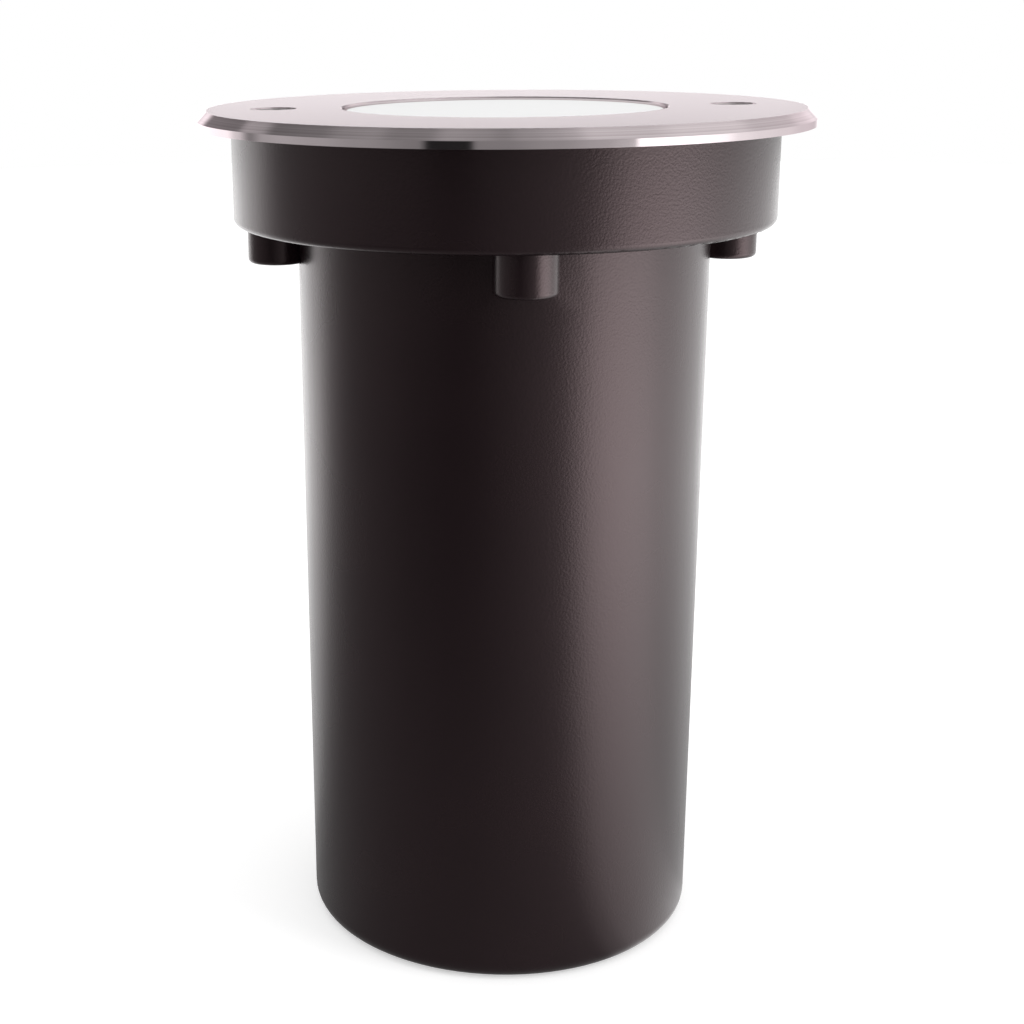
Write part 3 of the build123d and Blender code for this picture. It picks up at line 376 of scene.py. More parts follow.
# Black rubber, moulded: dull, with a fine dusty bloom.
black_rubber, tree, place = start_material("black_rubber")
bloom = add_node(tree, "ShaderNodeTexNoise", {"Scale": per_metre(0.6), "Detail": 4.0}, {"Vector": place})
relief = add_node(
    tree, "ShaderNodeBump", {"Strength": 0.4, "Distance": 0.02 * MM}, {"Height": bloom.outputs["Fac"]}
)
add_finish(tree, {"IOR": 1.52}, bloom.outputs["Fac"], ("#141414", "#222221"), (0.58, 0.72), relief)
dress(black_rubber, "gland_washer", "gland_seal", "wire_grommet")

# ---------------------------------------------------------------- terminal block
# A three pole block of natural polyamide on the floor, with a brass sleeve in each pole. Two grub
# screws a pole clamp the wires, and one long pan head screw holds the block down.

# Natural polyamide: a warm, milky white that lets a little light in.
terminal_plastic, tree, place = start_material("terminal_plastic")
milk = add_node(tree, "ShaderNodeTexNoise", {"Scale": per_metre(3), "Detail": 2.0}, {"Vector": place})
spark = add_node(tree, "ShaderNodeTexNoise", {"Scale": per_metre(0.3), "Detail": 2.0}, {"Vector": place})
relief = add_node(
    tree, "ShaderNodeBump", {"Strength": 0.2, "Distance": 0.01 * MM}, {"Height": spark.outputs["Fac"]}
)
milky = {"IOR": 1.53, "Roughness": 0.42, "Subsurface Weight": 0.15, "Subsurface Scale": 0.8 * MM}
add_finish(tree, milky, milk.outputs["Fac"], ("#dcd5c3", "#e9e4d6"), relief=relief)
dress(terminal_plastic, "terminal_block")

# Drawn brass: warm yellow, with lines along the bar.
brass, tree, place = start_material("brass")
stretch = add_node(tree, "ShaderNodeMapping", {"Scale": (1, 0.1, 1)}, {"Vector": place})
lines = add_node(
    tree, "ShaderNodeTexNoise", {"Scale": per_metre(0.2), "Detail": 2.0}, {"Vector": stretch.outputs[0]}
)
relief = add_node(
    tree, "ShaderNodeBump", {"Strength": 0.2, "Distance": 0.005 * MM}, {"Height": lines.outputs["Fac"]}
)
add_finish(tree, {"Metallic": 1.0}, lines.outputs["Fac"], ("#b18f45", "#cfae63"), (0.2, 0.32), relief)
dress(brass, "terminal_clamps")

# ---------------------------------------------------------------- earth tag
# A ring tag stamped from copper sheet and tinned, crimped on the earth lead, under a screw in the
# housing's earth boss.

# Hot dipped tin: a soft, slightly warm silver with duller patches.
tinned_copper, tree, place = start_material("tinned_copper")
dull = add_node(tree, "ShaderNodeTexNoise", {"Scale": per_metre(0.9), "Detail": 4.0}, {"Vector": place})
add_finish(tree, {"Metallic": 1.0}, dull.outputs["Fac"], ("#b4aea6", "#cdc9c2"), (0.26, 0.42))
dress(tinned_copper, "earth_tag")

# ---------------------------------------------------------------- mounting plate and brackets
# Steel blanks, stamped and bent, bright zinc plated and passivated: the round plate on the housing's
# posts, the U shaped lamp bracket, and the strip that hangs the lamp holder.

# Bright zinc: a cool, even silver, with the passivation's faint blue and straw haze.
zinc_plated_steel, tree, place = start_material("zinc_plated_steel")
haze = add_node(tree, "ShaderNodeTexNoise", {"Scale": per_metre(7), "Detail": 3.0}, {"Vector": place})
grain = add_node(tree, "ShaderNodeTexNoise", {"Scale": per_metre(0.35), "Detail": 3.0}, {"Vector": place})
relief = add_node(
    tree, "ShaderNodeBump", {"Strength": 0.25, "Distance": 0.006 * MM}, {"Height": grain.outputs["Fac"]}
)
add_finish(tree, {"Metallic": 1.0}, haze.outputs["Fac"], ("#a5abb3", "#c9c8c0"), (0.28, 0.42), relief)
dress(zinc_plated_steel, "mounting_plate", "lamp_bracket", "holder_bracket")

# ---------------------------------------------------------------- gimbal and lamp
# The tilting ring and the reflector lamp's finned body are die cast aluminium, blasted to a fine matt
# silver. A spring wire clip in the ring's groove keeps the lamp's rim down.

# Blasted aluminium: pale grey metal without lines, which spreads every highlight.
lamp_aluminium, tree, place = start_material("lamp_aluminium")
blast = add_node(tree, "ShaderNodeTexNoise", {"Scale": per_metre(0.22), "Detail": 3.0}, {"Vector": place})
cloud = add_node(tree, "ShaderNodeTexNoise", {"Scale": per_metre(6), "Detail": 2.0}, {"Vector": place})
relief = add_node(
    tree, "ShaderNodeBump", {"Strength": 0.4, "Distance": 0.012 * MM}, {"Height": blast.outputs["Fac"]}
)
matt_span = {"To Min": 0.34, "To Max": 0.46}
matt = add_node(tree, "ShaderNodeMapRange", matt_span, {"Value": blast.outputs["Fac"]})
add_finish(
    tree,
    {"Metallic": 1.0},
    cloud.outputs["Fac"],
    ("#b3b4b6", "#c8c9ca"),
    relief=relief,
    links={"Roughness": matt.outputs[0]},
)
dress(lamp_aluminium, "gimbal_ring", "lamp_body")

# Hard drawn spring wire: a darker grey than the cast ring, smooth and shiny.
spring_steel, tree, place = start_material("spring_steel")
lines = add_node(tree, "ShaderNodeTexNoise", {"Scale": per_metre(0.4), "Detail": 3.0}, {"Vector": place})
add_finish(tree, {"Metallic": 1.0}, lines.outputs["Fac"], ("#85868a", "#a5a6a9"), (0.18, 0.3))
dress(spring_steel, "lamp_clip")

# The lamp's front lens: a moulded disc of small domes in a honeycomb, which spread the beam.
lens_low, lens_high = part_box("lamp_lens")
lens_r = lens_high.x / MM
lens_edge_r = 0.8
dome_pitch = 4.2
dome_height = 0.45
domes_r = lens_r - 2.2
dome_steps = 44
lens_sides = 144
# Points this close to a limit, in millimetres, count as on it.
nearly = 0.01


def ringed_mesh(name, rings, sides, closed=False):
    """A closed mesh of rings in millimetres, each a height and a radius or a function of the angle.
    It is capped at both ends, or joined from its last ring to its first if closed."""
    mesh = bmesh.new()
    loops = []
    for height, radius in rings:
        loop = []
        for i in range(sides):
            angle = 2 * math.pi * i / sides
            r = radius(angle) if callable(radius) else radius
            loop.append(mesh.verts.new((r * math.cos(angle) * MM, r * math.sin(angle) * MM, height * MM)))
        loops.append(loop)
    pairs = list(zip(loops, loops[1:]))
    if closed:
        pairs.append((loops[-1], loops[0]))
    else:
        mesh.faces.new(loops[0])
        mesh.faces.new(loops[-1])
    for low, high in pairs:
        for i in range(sides):
            j = (i + 1) % sides
            mesh.faces.new((low[i], low[j], high[j], high[i]))
    bmesh.ops.recalc_face_normals(mesh, faces=mesh.faces)
    made = bpy.data.meshes.new(name)
    mesh.to_mesh(made)
    mesh.free()
    return made


def show(name, mesh):
    """Puts a mesh in the scene as an object at the origin."""
    piece = bpy.data.objects.new(name, mesh)
    bpy.context.scene.collection.objects.link(piece)
    return piece


def stands_for(piece, slot, *nodes):
    """Rides the piece on the nodes' body, in their place, and hides the nodes. The slot is not used."""
    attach(piece, frame["nodes"][nodes[0]]["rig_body"])
    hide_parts(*nodes)


def rounded_edge(top, outer_r, edge_r, steps=4):
    """The outline of a rounded upper edge, as heights and radii from its side to its top."""
    arc = [math.pi / 2 * i / steps for i in range(steps + 1)]
    return [(top - edge_r + edge_r * math.sin(a), outer_r - edge_r + edge_r * math.cos(a)) for a in arc]


lens_base = lens_low.z / MM
lens_top = lens_high.z / MM
lens_outline = [(lens_base, lens_r)] + rounded_edge(lens_top, lens_r, lens_edge_r)
lens_outline += [(lens_top, domes_r * (1 - i / dome_steps)) for i in range(dome_steps)]
lens_mesh = ringed_mesh("honeycomb_lamp_lens", lens_outline, lens_sides)
dome_reach = math.ceil(domes_r / dome_pitch) + 1
dome_places = [
    ((i + (j % 2) / 2) * dome_pitch, j * dome_pitch * math.sqrt(3) / 2)
    for i in range(-dome_reach, dome_reach + 1)
    for j in range(-dome_reach, dome_reach + 1)
]
for vert in lens_mesh.vertices:
    x = vert.co.x / MM
    y = vert.co.y / MM
    if vert.co.z > lens_high.z - nearly * MM and math.hypot(x, y) < domes_r - nearly:
        to_dome = min(math.hypot(x - dome_x, y - dome_y) for dome_x, dome_y in dome_places)
        vert.co.z -= dome_height * (2 * to_dome / dome_pitch) ** 2 * MM
for face in lens_mesh.polygons:
    face.use_smooth = True
honeycomb_lens = show("honeycomb_lamp_lens", lens_mesh)

# Clear polycarbonate over the white diodes' board: pale, glossy, half clear.
lamp_polycarbonate, tree, place = start_material("lamp_polycarbonate")
haze = add_node(tree, "ShaderNodeTexNoise", {"Scale": per_metre(4), "Detail": 2.0}, {"Vector": place})
add_finish(
    tree, {"IOR": 1.58, "Transmission Weight": 0.3}, haze.outputs["Fac"], ("#e6ebec", "#f6f8f8"), (0.06, 0.12)
)
lens_mesh.materials.append(lamp_polycarbonate)
stands_for(honeycomb_lens, "lamp_glass", "lamp_lens")

# Nickel plated brass, for the bayonet pins and the contacts under them: a warm, glossy silver.
nickel_plated_brass, tree, place = start_material("nickel_plated_brass")
wipe = add_node(tree, "ShaderNodeTexNoise", {"Scale": per_metre(0.8), "Detail": 3.0}, {"Vector": place})
add_finish(tree, {"Metallic": 1.0}, wipe.outputs["Fac"], ("#bdb4a0", "#d6cfbf"), (0.16, 0.28))
dress(nickel_plated_brass, "lamp_pins", "holder_contacts")

# ---------------------------------------------------------------- lamp holder
# A pressed and fired steatite block with two curved slots for the lamp's pins, unglazed and a little
# chalky, hung from the gimbal ring by its plated strip.

# Steatite: a creamy, specked white with a dull sheen.
white_ceramic, tree, place = start_material("white_ceramic")
speck = add_node(tree, "ShaderNodeTexNoise", {"Scale": per_metre(0.5), "Detail": 5.0}, {"Vector": place})
relief = add_node(
    tree, "ShaderNodeBump", {"Strength": 0.3, "Distance": 0.02 * MM}, {"Height": speck.outputs["Fac"]}
)
add_finish(tree, {"IOR": 1.6}, speck.outputs["Fac"], ("#ddd6c8", "#f1ede5"), (0.42, 0.6), relief)
dress(white_ceramic, "lamp_holder")

# ---------------------------------------------------------------- leads
# Three stranded leads: a brown and a blue one in silicone, from the holder through the grommet to the
# terminal block, and the green and yellow earth lead from the tag to the third pole.

lead_r = 0.88
lead_step = 0.6


def baked(piece, name):
    """A plain mesh object with the piece's modifiers applied. The piece itself is removed."""
    evaluated = piece.evaluated_get(bpy.context.evaluated_depsgraph_get())
    mesh = bpy.data.meshes.new_from_object(evaluated)
    mesh.name = name
    bpy.data.objects.remove(piece)
    return show(name, mesh)


# The tree sweeps a round section along a route, and notes on it how far round and along each point lies.
lead_tree = bpy.data.node_groups.new("insulated_lead", "GeometryNodeTree")
lead_tree.is_modifier = True
lead_inputs = {
    "Route": "NodeSocketGeometry",
    "Lead Radius": "NodeSocketFloat",
    "Step": "NodeSocketFloat",
    "Insulation": "NodeSocketMaterial",
}
lead_input_ids = {
    name: lead_tree.interface.new_socket(name, in_out="INPUT", socket_type=kind).identifier
    for name, kind in lead_inputs.items()
}
lead_tree.interface.new_socket("Lead", in_out="OUTPUT", socket_type="NodeSocketGeometry")
given = add_node(lead_tree, "NodeGroupInput").outputs
on_curve = add_node(lead_tree, "GeometryNodeSplineParameter").outputs
in_steps = {"Curve": given["Route"], "Length": given["Step"]}
even_route = add_node(lead_tree, "GeometryNodeResampleCurve", {"mode": "LENGTH"}, in_steps)
noted_route = add_node(
    lead_tree,
    "GeometryNodeStoreNamedAttribute",
    {"Name": "along"},
    {"Geometry": even_route.outputs[0], "Value": on_curve["Length"]},
)
section = add_node(
    lead_tree, "GeometryNodeCurvePrimitiveCircle", {"Resolution": 20}, {"Radius": given["Lead Radius"]}
)
noted_section = add_node(
    lead_tree,
    "GeometryNodeStoreNamedAttribute",
    {"Name": "around"},
    {"Geometry": section.outputs[0], "Value": on_curve["Factor"]},
)
swept = add_node(
    lead_tree,
    "GeometryNodeCurveToMesh",
    {"Fill Caps": True},
    {"Curve": noted_route.outputs[0], "Profile Curve": noted_section.outputs[0]},
)
real = add_node(lead_tree, "GeometryNodeRealizeInstances", links={"Geometry": swept.outputs[0]})
finished = add_node(
    lead_tree, "GeometryNodeSetMaterial", links={"Geometry": real.outputs[0], "Material": given["Insulation"]}
)
add_node(lead_tree, "NodeGroupOutput", links={0: finished.outputs[0]})


def lay_lead(name, points, insulation):
    """A round lead along a route of points in millimetres, in one mesh."""
    route = bpy.data.curves.new(name + "_route", "CURVE")
    route.dimensions = "3D"
    route.resolution_u = 12
    spline = route.splines.new("NURBS")
    spline.points.add(len(points) - 1)
    for spot, point in zip(spline.points, points):
        spot.co = (point[0] * MM, point[1] * MM, point[2] * MM, 1)
    spline.order_u = 3
    spline.use_endpoint_u = True
    piece = show(name + "_route", route)
    sweep = piece.modifiers.new("sweep", "NODES")
    sweep.node_group = lead_tree
    sweep[lead_input_ids["Lead Radius"]] = lead_r * MM
    sweep[lead_input_ids["Step"]] = lead_step * MM
    sweep[lead_input_ids["Insulation"]] = insulation
    lead = baked(piece, name)
    for face in lead.data.polygons:
        face.use_smooth = len(face.vertices) == 4
    return lead


def silicone_insulation(name, colours):
    """Extruded silicone rubber: even and silky, with the faint waves of its extrusion."""
    insulation, tree, place = start_material(name)
    along = add_node(tree, "ShaderNodeAttribute", {"attribute_name": "along"}).outputs["Fac"]
    waves = add_node(
        tree, "ShaderNodeTexNoise", {"noise_dimensions": "1D", "Scale": per_metre(1.5)}, {"W": along}
    )
    relief = add_node(
        tree, "ShaderNodeBump", {"Strength": 0.3, "Distance": 0.02 * MM}, {"Height": waves.outputs["Fac"]}
    )
    add_finish(tree, {"IOR": 1.41}, waves.outputs["Fac"], colours, (0.38, 0.48), relief)
    return insulation


# Green PVC, semi-gloss, with a broad yellow stripe that winds slowly round the lead.
earth_pvc, tree, place = start_material("green_yellow_pvc")
around = add_node(tree, "ShaderNodeAttribute", {"attribute_name": "around"}).outputs["Fac"]
along = add_node(tree, "ShaderNodeAttribute", {"attribute_name": "along"}).outputs["Fac"]
stripe_turn = 60.0
stripe_edge = {"From Min": 0.58, "From Max": 0.62}
slant = {"operation": "MULTIPLY_ADD", 1: per_metre(stripe_turn)}
winding = add_node(tree, "ShaderNodeMath", slant, {0: along, 2: around})
whole = add_node(tree, "ShaderNodeMath", {"operation": "FRACT"}, {0: winding.outputs[0]})
stripe = add_node(tree, "ShaderNodeMapRange", stripe_edge, {"Value": whole.outputs[0]})
add_finish(tree, {"IOR": 1.54, "Roughness": 0.34}, stripe.outputs[0], ("#3c7a35", "#dcc93a"))

# The leads start inside the holder, on its contacts, bow round to the grommet in the mounting plate, and
# end in the terminal block's poles. Minus one is the brown lead's side, and one the blue lead's.
lead_colours = {
    -1: ("brown_lead", silicone_insulation("brown_silicone", ("#4e2f20", "#5f3b29"))),
    1: ("blue_lead", silicone_insulation("blue_silicone", ("#2a4f8c", "#34609f"))),
}
# The places on their way, in millimetres.
contact_x = 7
contact_z = 66.65
holder_exit_z = 59.35
bow = (6, 6, 55.6)
grommet_x = 1.4
grommet_y = 18
above_grommet_z = 57.4
below_grommet_z = 44.1
pole_places = {-1: 0, 1: 9}
pole_mouth_y = -10
pole_end_y = -21.5
pole_z = 33
for side, (name, insulation) in lead_colours.items():
    lamp_route = [
        (side * contact_x, 0, contact_z),
        (side * contact_x, 0, holder_exit_z),
        (side * bow[0], bow[1], bow[2]),
        (side * grommet_x, grommet_y, above_grommet_z),
        (side * grommet_x, grommet_y, below_grommet_z),
        (pole_places[side], pole_mouth_y, pole_z),
        (pole_places[side], pole_end_y, pole_z),
    ]
    lead = lay_lead(name, lamp_route, insulation)
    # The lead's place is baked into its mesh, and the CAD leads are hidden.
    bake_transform(lead)
    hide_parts("lamp_leads")

# The earth lead runs from the tag's crimp straight to its pole.
crimp_x = -19
crimp_z = 31.8
crimp_start_y = 5
crimp_exit_y = -3
earth_pole_x = -9
earth_mouth_y = -12.5
earth_route = [
    (crimp_x, crimp_start_y, crimp_z),
    (crimp_x, crimp_exit_y, crimp_z),
    (earth_pole_x, earth_mouth_y, pole_z),
    (earth_pole_x, pole_end_y, pole_z),
]
stands_for(lay_lead("earth_wire", earth_route, earth_pvc), "earth_insulation", "earth_lead")

# ---------------------------------------------------------------- glass and its gaskets
# A stepped disc of toughened glass, frosted inside so that the lamp doesn't glare, between two flat
# rings of pale silicone.

# Etched glass: milky white, with hardly any gloss left.
frosted_glass, tree, place = start_material("frosted_glass")
etch = add_node(tree, "ShaderNodeTexNoise", {"Scale": per_metre(0.4), "Detail": 3.0}, {"Vector": place})
etched = {"IOR": 1.52, "Specular IOR Level": 0.12, "Roughness": 0.5}
add_finish(tree, etched, etch.outputs["Fac"], ("#f7f7f7", "#fdfdfd"))
dress(frosted_glass, "glass_lens")

# Moulded silicone: translucent grey white, matt.
silicone_seal, tree, place = start_material("silicone_seal")
cloud = add_node(tree, "ShaderNodeTexNoise", {"Scale": per_metre(1.5), "Detail": 2.0}, {"Vector": place})
translucent = {"IOR": 1.41, "Roughness": 0.5, "Subsurface Weight": 0.2, "Subsurface Scale": 1.0 * MM}
add_finish(tree, translucent, cloud.outputs["Fac"], ("#c3c7c4", "#d8dbd8"))
dress(silicone_seal, "lower_glass_gasket", "upper_glass_gasket")

# ---------------------------------------------------------------- clamp ring
# A flat ring, powder coated like the housing, that presses the glass on its seal. Two countersunk
# screws of its own hold it, so the glass stays sealed while the trim ring is off.

dress(black_powder_coat, "clamp_ring")

# ---------------------------------------------------------------- trim ring
# The cover ring, turned from 3 mm stainless plate: bevelled outside, with a fine edge to its window and
# two countersunk holes. Its face keeps the lathe's fine circular lines, its bevel is cut smoother.

trim_low, trim_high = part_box("trim_ring")
trim_r = trim_high.x / MM
trim_top = trim_high.z / MM
trim_base = trim_low.z / MM
trim_bevel_width = 1.7
trim_bevel_height = 1.75
window_r = 29.1
window_chamfer = 0.25
trim_hole_x = 41.25
trim_hole_r = 2.25
countersink_r = 4.2
trim_edge_r = 0.12
face_end = trim_r - trim_bevel_width
ring_sides = 240
countersink_sides = 72
# How far the two cutters of the countersunk holes reach past the ring.
cutter_reach = 1.0

ring_section = [
    (trim_base, window_r),
    (trim_base, trim_r),
    (trim_top - trim_bevel_height, trim_r),
    (trim_top, face_end),
    (trim_top, window_r + window_chamfer),
    (trim_top - window_chamfer, window_r),
]
ring_blank = show("ring_blank", ringed_mesh("ring_blank", ring_section, ring_sides, closed=True))
for face in ring_blank.data.polygons:
    face.use_smooth = True
countersink_rings = [
    (trim_base - cutter_reach, trim_hole_r),
    (trim_top - (countersink_r - trim_hole_r), trim_hole_r),
    (trim_top + cutter_reach, countersink_r + cutter_reach),
]
for side in (-1, 1):
    cutter_mesh = ringed_mesh("countersink", countersink_rings, countersink_sides)
    cutter_mesh.transform(Matrix.Translation((side * trim_hole_x * MM, 0, 0)))
    for face in cutter_mesh.polygons:
        face.use_smooth = True
    cutter = show("countersink", cutter_mesh)
    hole = ring_blank.modifiers.new("countersink", "BOOLEAN")
    hole.operation = "DIFFERENCE"
    hole.solver = "EXACT"
    hole.object = cutter
edges = ring_blank.modifiers.new("broken_edges", "BEVEL")
edges.width = trim_edge_r * MM
edges.segments = 2
edges.limit_method = "ANGLE"
edges.angle_limit = math.radians(30)
edges.harden_normals = True
turned_trim_ring = baked(ring_blank, "turned_trim_ring")
for cutter in [piece for piece in bpy.context.scene.objects if piece.name.startswith("countersink")]:
    bpy.data.objects.remove(cutter)

# Turned stainless steel, bright: a faint warm grey. The tool leaves circular lines 0.1 mm apart, drawn
# here 0.3 mm apart so that they show.
turned_stainless, tree, place = start_material("turned_stainless")
bevel_roughness = 0.06
bevel_blend = 0.1
level_place = add_node(tree, "ShaderNodeVectorMath", {"operation": "MULTIPLY", 1: (1, 1, 0)}, {0: place})
radius = add_node(tree, "ShaderNodeVectorMath", {"operation": "LENGTH"}, {0: level_place.outputs[0]})
turning = {"noise_dimensions": "1D", "Scale": per_metre(0.3), "Detail": 3.0, "Roughness": 0.6}
lines = add_node(tree, "ShaderNodeTexNoise", turning, {"W": radius.outputs["Value"]})
relief = add_node(
    tree, "ShaderNodeBump", {"Strength": 0.3, "Distance": 0.004 * MM}, {"Height": lines.outputs["Fac"]}
)
outwards = {"From Min": (face_end - bevel_blend) * MM, "From Max": face_end * MM}
on_bevel = add_node(tree, "ShaderNodeMapRange", outwards, {"Value": radius.outputs["Value"]})
face_span = {"To Min": 0.13, "To Max": 0.21}
on_face = add_node(tree, "ShaderNodeMapRange", face_span, {"Value": lines.outputs["Fac"]})
both = {0: on_bevel.outputs[0], 2: on_face.outputs[0]}
roughness = add_node(tree, "ShaderNodeMix", {"data_type": "FLOAT", 3: bevel_roughness}, both)
add_finish(
    tree,
    {"Metallic": 1.0, "Specular Tint": linear("#fff4f8")},
    lines.outputs["Fac"],
    ("#beb2b4", "#eadfe2"),
    relief=relief,
    links={"Roughness": roughness.outputs[0]},
)
turned_trim_ring.data.materials.clear()
turned_trim_ring.data.materials.append(turned_stainless)
stands_for(turned_trim_ring, "satin_stainless", "trim_ring")

# ---------------------------------------------------------------- screws
# Cold headed stainless machine screws with rolled threads and a hexagon socket: countersunk M4 in the
# two rings, pan head M3 inside, and a wide pan head M4 on the earth tag.

socket_edge = 0.1
head_sides = 48
shank_sides = 24
# Rows of points along one turn of the thread.
rows_a_turn = 6.0
# The share of its core radius that a shank keeps at its end, so that the thread starts tapered.
tip_share = 0.78


def hexagon(flats):
    """The radius of a hexagon by the angle, for its width across flats."""
    def radius(angle):
        return flats / 2 / math.cos((angle + math.pi / 6) % (math.pi / 3) - math.pi / 6)
    return radius


def screw_head(name, outline, socket_flats, socket_depth):
    """A turned screw head with a hexagon socket, from its outline of heights and radii, lowest first."""
    top = outline[-1][0]
    socket = [
        (top, hexagon(socket_flats + 2 * socket_edge)),
        (top - socket_edge, hexagon(socket_flats)),
        (top - socket_depth, hexagon(socket_flats)),
    ]
    return ringed_mesh(name, outline + socket, head_sides)


# The tree rolls one shank with a helical thread, adds the head, and sets a copy at every point.
screw_tree = bpy.data.node_groups.new("threaded_screws", "GeometryNodeTree")
screw_tree.is_modifier = True
screw_inputs = {
    "Places": "NodeSocketGeometry",
    "Head": "NodeSocketObject",
    "Core Radius": "NodeSocketFloat",
    "Thread Depth": "NodeSocketFloat",
    "Pitch": "NodeSocketFloat",
    "Shank Top": "NodeSocketFloat",
    "Shank End": "NodeSocketFloat",
    "Finish": "NodeSocketMaterial",
}
screw_input_ids = {
    name: screw_tree.interface.new_socket(name, in_out="INPUT", socket_type=kind).identifier
    for name, kind in screw_inputs.items()
}
screw_tree.interface.new_socket("Screws", in_out="OUTPUT", socket_type="NodeSocketGeometry")
tree = screw_tree
given = add_node(tree, "NodeGroupInput").outputs
ends = {0: given["Shank Top"], 1: given["Shank End"]}
shank_length = add_node(tree, "ShaderNodeMath", {"operation": "SUBTRACT"}, ends).outputs[0]
winds = {0: shank_length, 1: given["Pitch"]}
turns = add_node(tree, "ShaderNodeMath", {"operation": "DIVIDE"}, winds).outputs[0]
rows = add_node(tree, "ShaderNodeMath", {"operation": "MULTIPLY", 1: rows_a_turn}, {0: turns}).outputs[0]
blank_sizes = {"Side Segments": rows, "Radius": given["Core Radius"], "Depth": shank_length}
blank = add_node(tree, "GeometryNodeMeshCylinder", {"Vertices": shank_sides}, blank_sizes)

# Each point of the blank: its angle, the turns it has risen less the turns it has gone round, and so
# where it lies between a thread's root, 0, and its crest, 1.
position = add_node(tree, "GeometryNodeInputPosition").outputs[0]
spot = add_node(tree, "ShaderNodeSeparateXYZ", links={0: position}).outputs
around = add_node(tree, "ShaderNodeMath", {"operation": "ARCTAN2"}, {0: spot["Y"], 1: spot["X"]}).outputs[0]
rise = {0: spot["Z"], 1: given["Pitch"]}
risen = add_node(tree, "ShaderNodeMath", {"operation": "DIVIDE"}, rise).outputs[0]
one_turn = {"operation": "MULTIPLY", 1: 1 / (2 * math.pi)}
turned = add_node(tree, "ShaderNodeMath", one_turn, {0: around}).outputs[0]
phase = add_node(tree, "ShaderNodeMath", {"operation": "SUBTRACT"}, {0: risen, 1: turned}).outputs[0]
flank = add_node(tree, "ShaderNodeMath", {"operation": "PINGPONG", 1: 0.5}, {0: phase}).outputs[0]
crest = add_node(tree, "ShaderNodeMath", {"operation": "MULTIPLY", 1: 2.0}, {0: flank}).outputs[0]

# The thread grows from nothing over the first turn at the shank's end.
half = {"operation": "MULTIPLY", 1: 0.5}
half_length = add_node(tree, "ShaderNodeMath", half, {0: shank_length}).outputs[0]
above_end = {0: spot["Z"], 1: half_length}
from_end = add_node(tree, "ShaderNodeMath", {"operation": "ADD"}, above_end).outputs[0]
first_turn = {"Value": from_end, "From Max": given["Pitch"]}
run_out = add_node(tree, "ShaderNodeMapRange", links=first_turn).outputs[0]
ridge = add_node(tree, "ShaderNodeMath", {"operation": "MULTIPLY"}, {0: crest, 1: run_out}).outputs[0]
thread = {0: ridge, 1: given["Thread Depth"]}
raised = add_node(tree, "ShaderNodeMath", {"operation": "MULTIPLY"}, thread).outputs[0]
tip = add_node(tree, "ShaderNodeMapRange", {"To Min": tip_share}, {"Value": run_out}).outputs[0]
tapered = {0: tip, 1: given["Core Radius"]}
core = add_node(tree, "ShaderNodeMath", {"operation": "MULTIPLY"}, tapered).outputs[0]
full_r = add_node(tree, "ShaderNodeMath", {"operation": "ADD"}, {0: core, 1: raised}).outputs[0]
cosine = add_node(tree, "ShaderNodeMath", {"operation": "COSINE"}, {0: around}).outputs[0]
sine = add_node(tree, "ShaderNodeMath", {"operation": "SINE"}, {0: around}).outputs[0]
new_x = add_node(tree, "ShaderNodeMath", {"operation": "MULTIPLY"}, {0: full_r, 1: cosine}).outputs[0]
new_y = add_node(tree, "ShaderNodeMath", {"operation": "MULTIPLY"}, {0: full_r, 1: sine}).outputs[0]
new_spot = add_node(tree, "ShaderNodeCombineXYZ", links={0: new_x, 1: new_y, 2: spot["Z"]}).outputs[0]
threaded = {"Geometry": blank.outputs["Mesh"], "Position": new_spot}
rolled = add_node(tree, "GeometryNodeSetPosition", links=threaded).outputs[0]

# The shank hangs under the head, and each copy is turned by a chance angle, as driven screws are.
span = {0: given["Shank End"], 1: half_length}
middle = add_node(tree, "ShaderNodeMath", {"operation": "ADD"}, span).outputs[0]
shank_place = add_node(tree, "ShaderNodeCombineXYZ", links={2: middle}).outputs[0]
lowered = {"Geometry": rolled, "Translation": shank_place}
shank = add_node(tree, "GeometryNodeTransform", links=lowered).outputs[0]
head = add_node(tree, "GeometryNodeObjectInfo", links={"Object": given["Head"]}).outputs["Geometry"]
one_screw = add_node(tree, "GeometryNodeJoinGeometry", links={"Geometry": shank})
tree.links.new(head, one_screw.inputs["Geometry"])
axis = add_node(tree, "GeometryNodeInputNamedAttribute", {"data_type": "FLOAT_VECTOR", "Name": "axis"})
along_axis = {"Vector": axis.outputs["Attribute"]}
upright = add_node(tree, "FunctionNodeAlignRotationToVector", {"axis": "Z"}, along_axis).outputs[0]
chance = {"data_type": "FLOAT", "Seed": 4, 3: math.pi}
driven = add_node(tree, "FunctionNodeRandomValue", chance).outputs[1]
own_axis = {"Axis": (0, 0, 1)}
spin = add_node(tree, "FunctionNodeAxisAngleToRotation", own_axis, {"Angle": driven}).outputs[0]
turn_on = {"Rotation": upright, "Rotate By": spin}
final_turn = add_node(tree, "FunctionNodeRotateRotation", {"rotation_space": "LOCAL"}, turn_on).outputs[0]
placed = {"Points": given["Places"], "Instance": one_screw.outputs[0], "Rotation": final_turn}
copies = add_node(tree, "GeometryNodeInstanceOnPoints", links=placed).outputs[0]
real = add_node(tree, "GeometryNodeRealizeInstances", links={"Geometry": copies}).outputs[0]
finish = {"Geometry": real, "Material": given["Finish"]}
finished = add_node(tree, "GeometryNodeSetMaterial", links=finish).outputs[0]
add_node(tree, "NodeGroupOutput", links={0: finished})

# Points of a CAD mesh closer than this, in millimetres, are one point.
weld = 0.002
# Faces that meet at less than this angle are shaded as one surface.
smooth_under = math.radians(40)


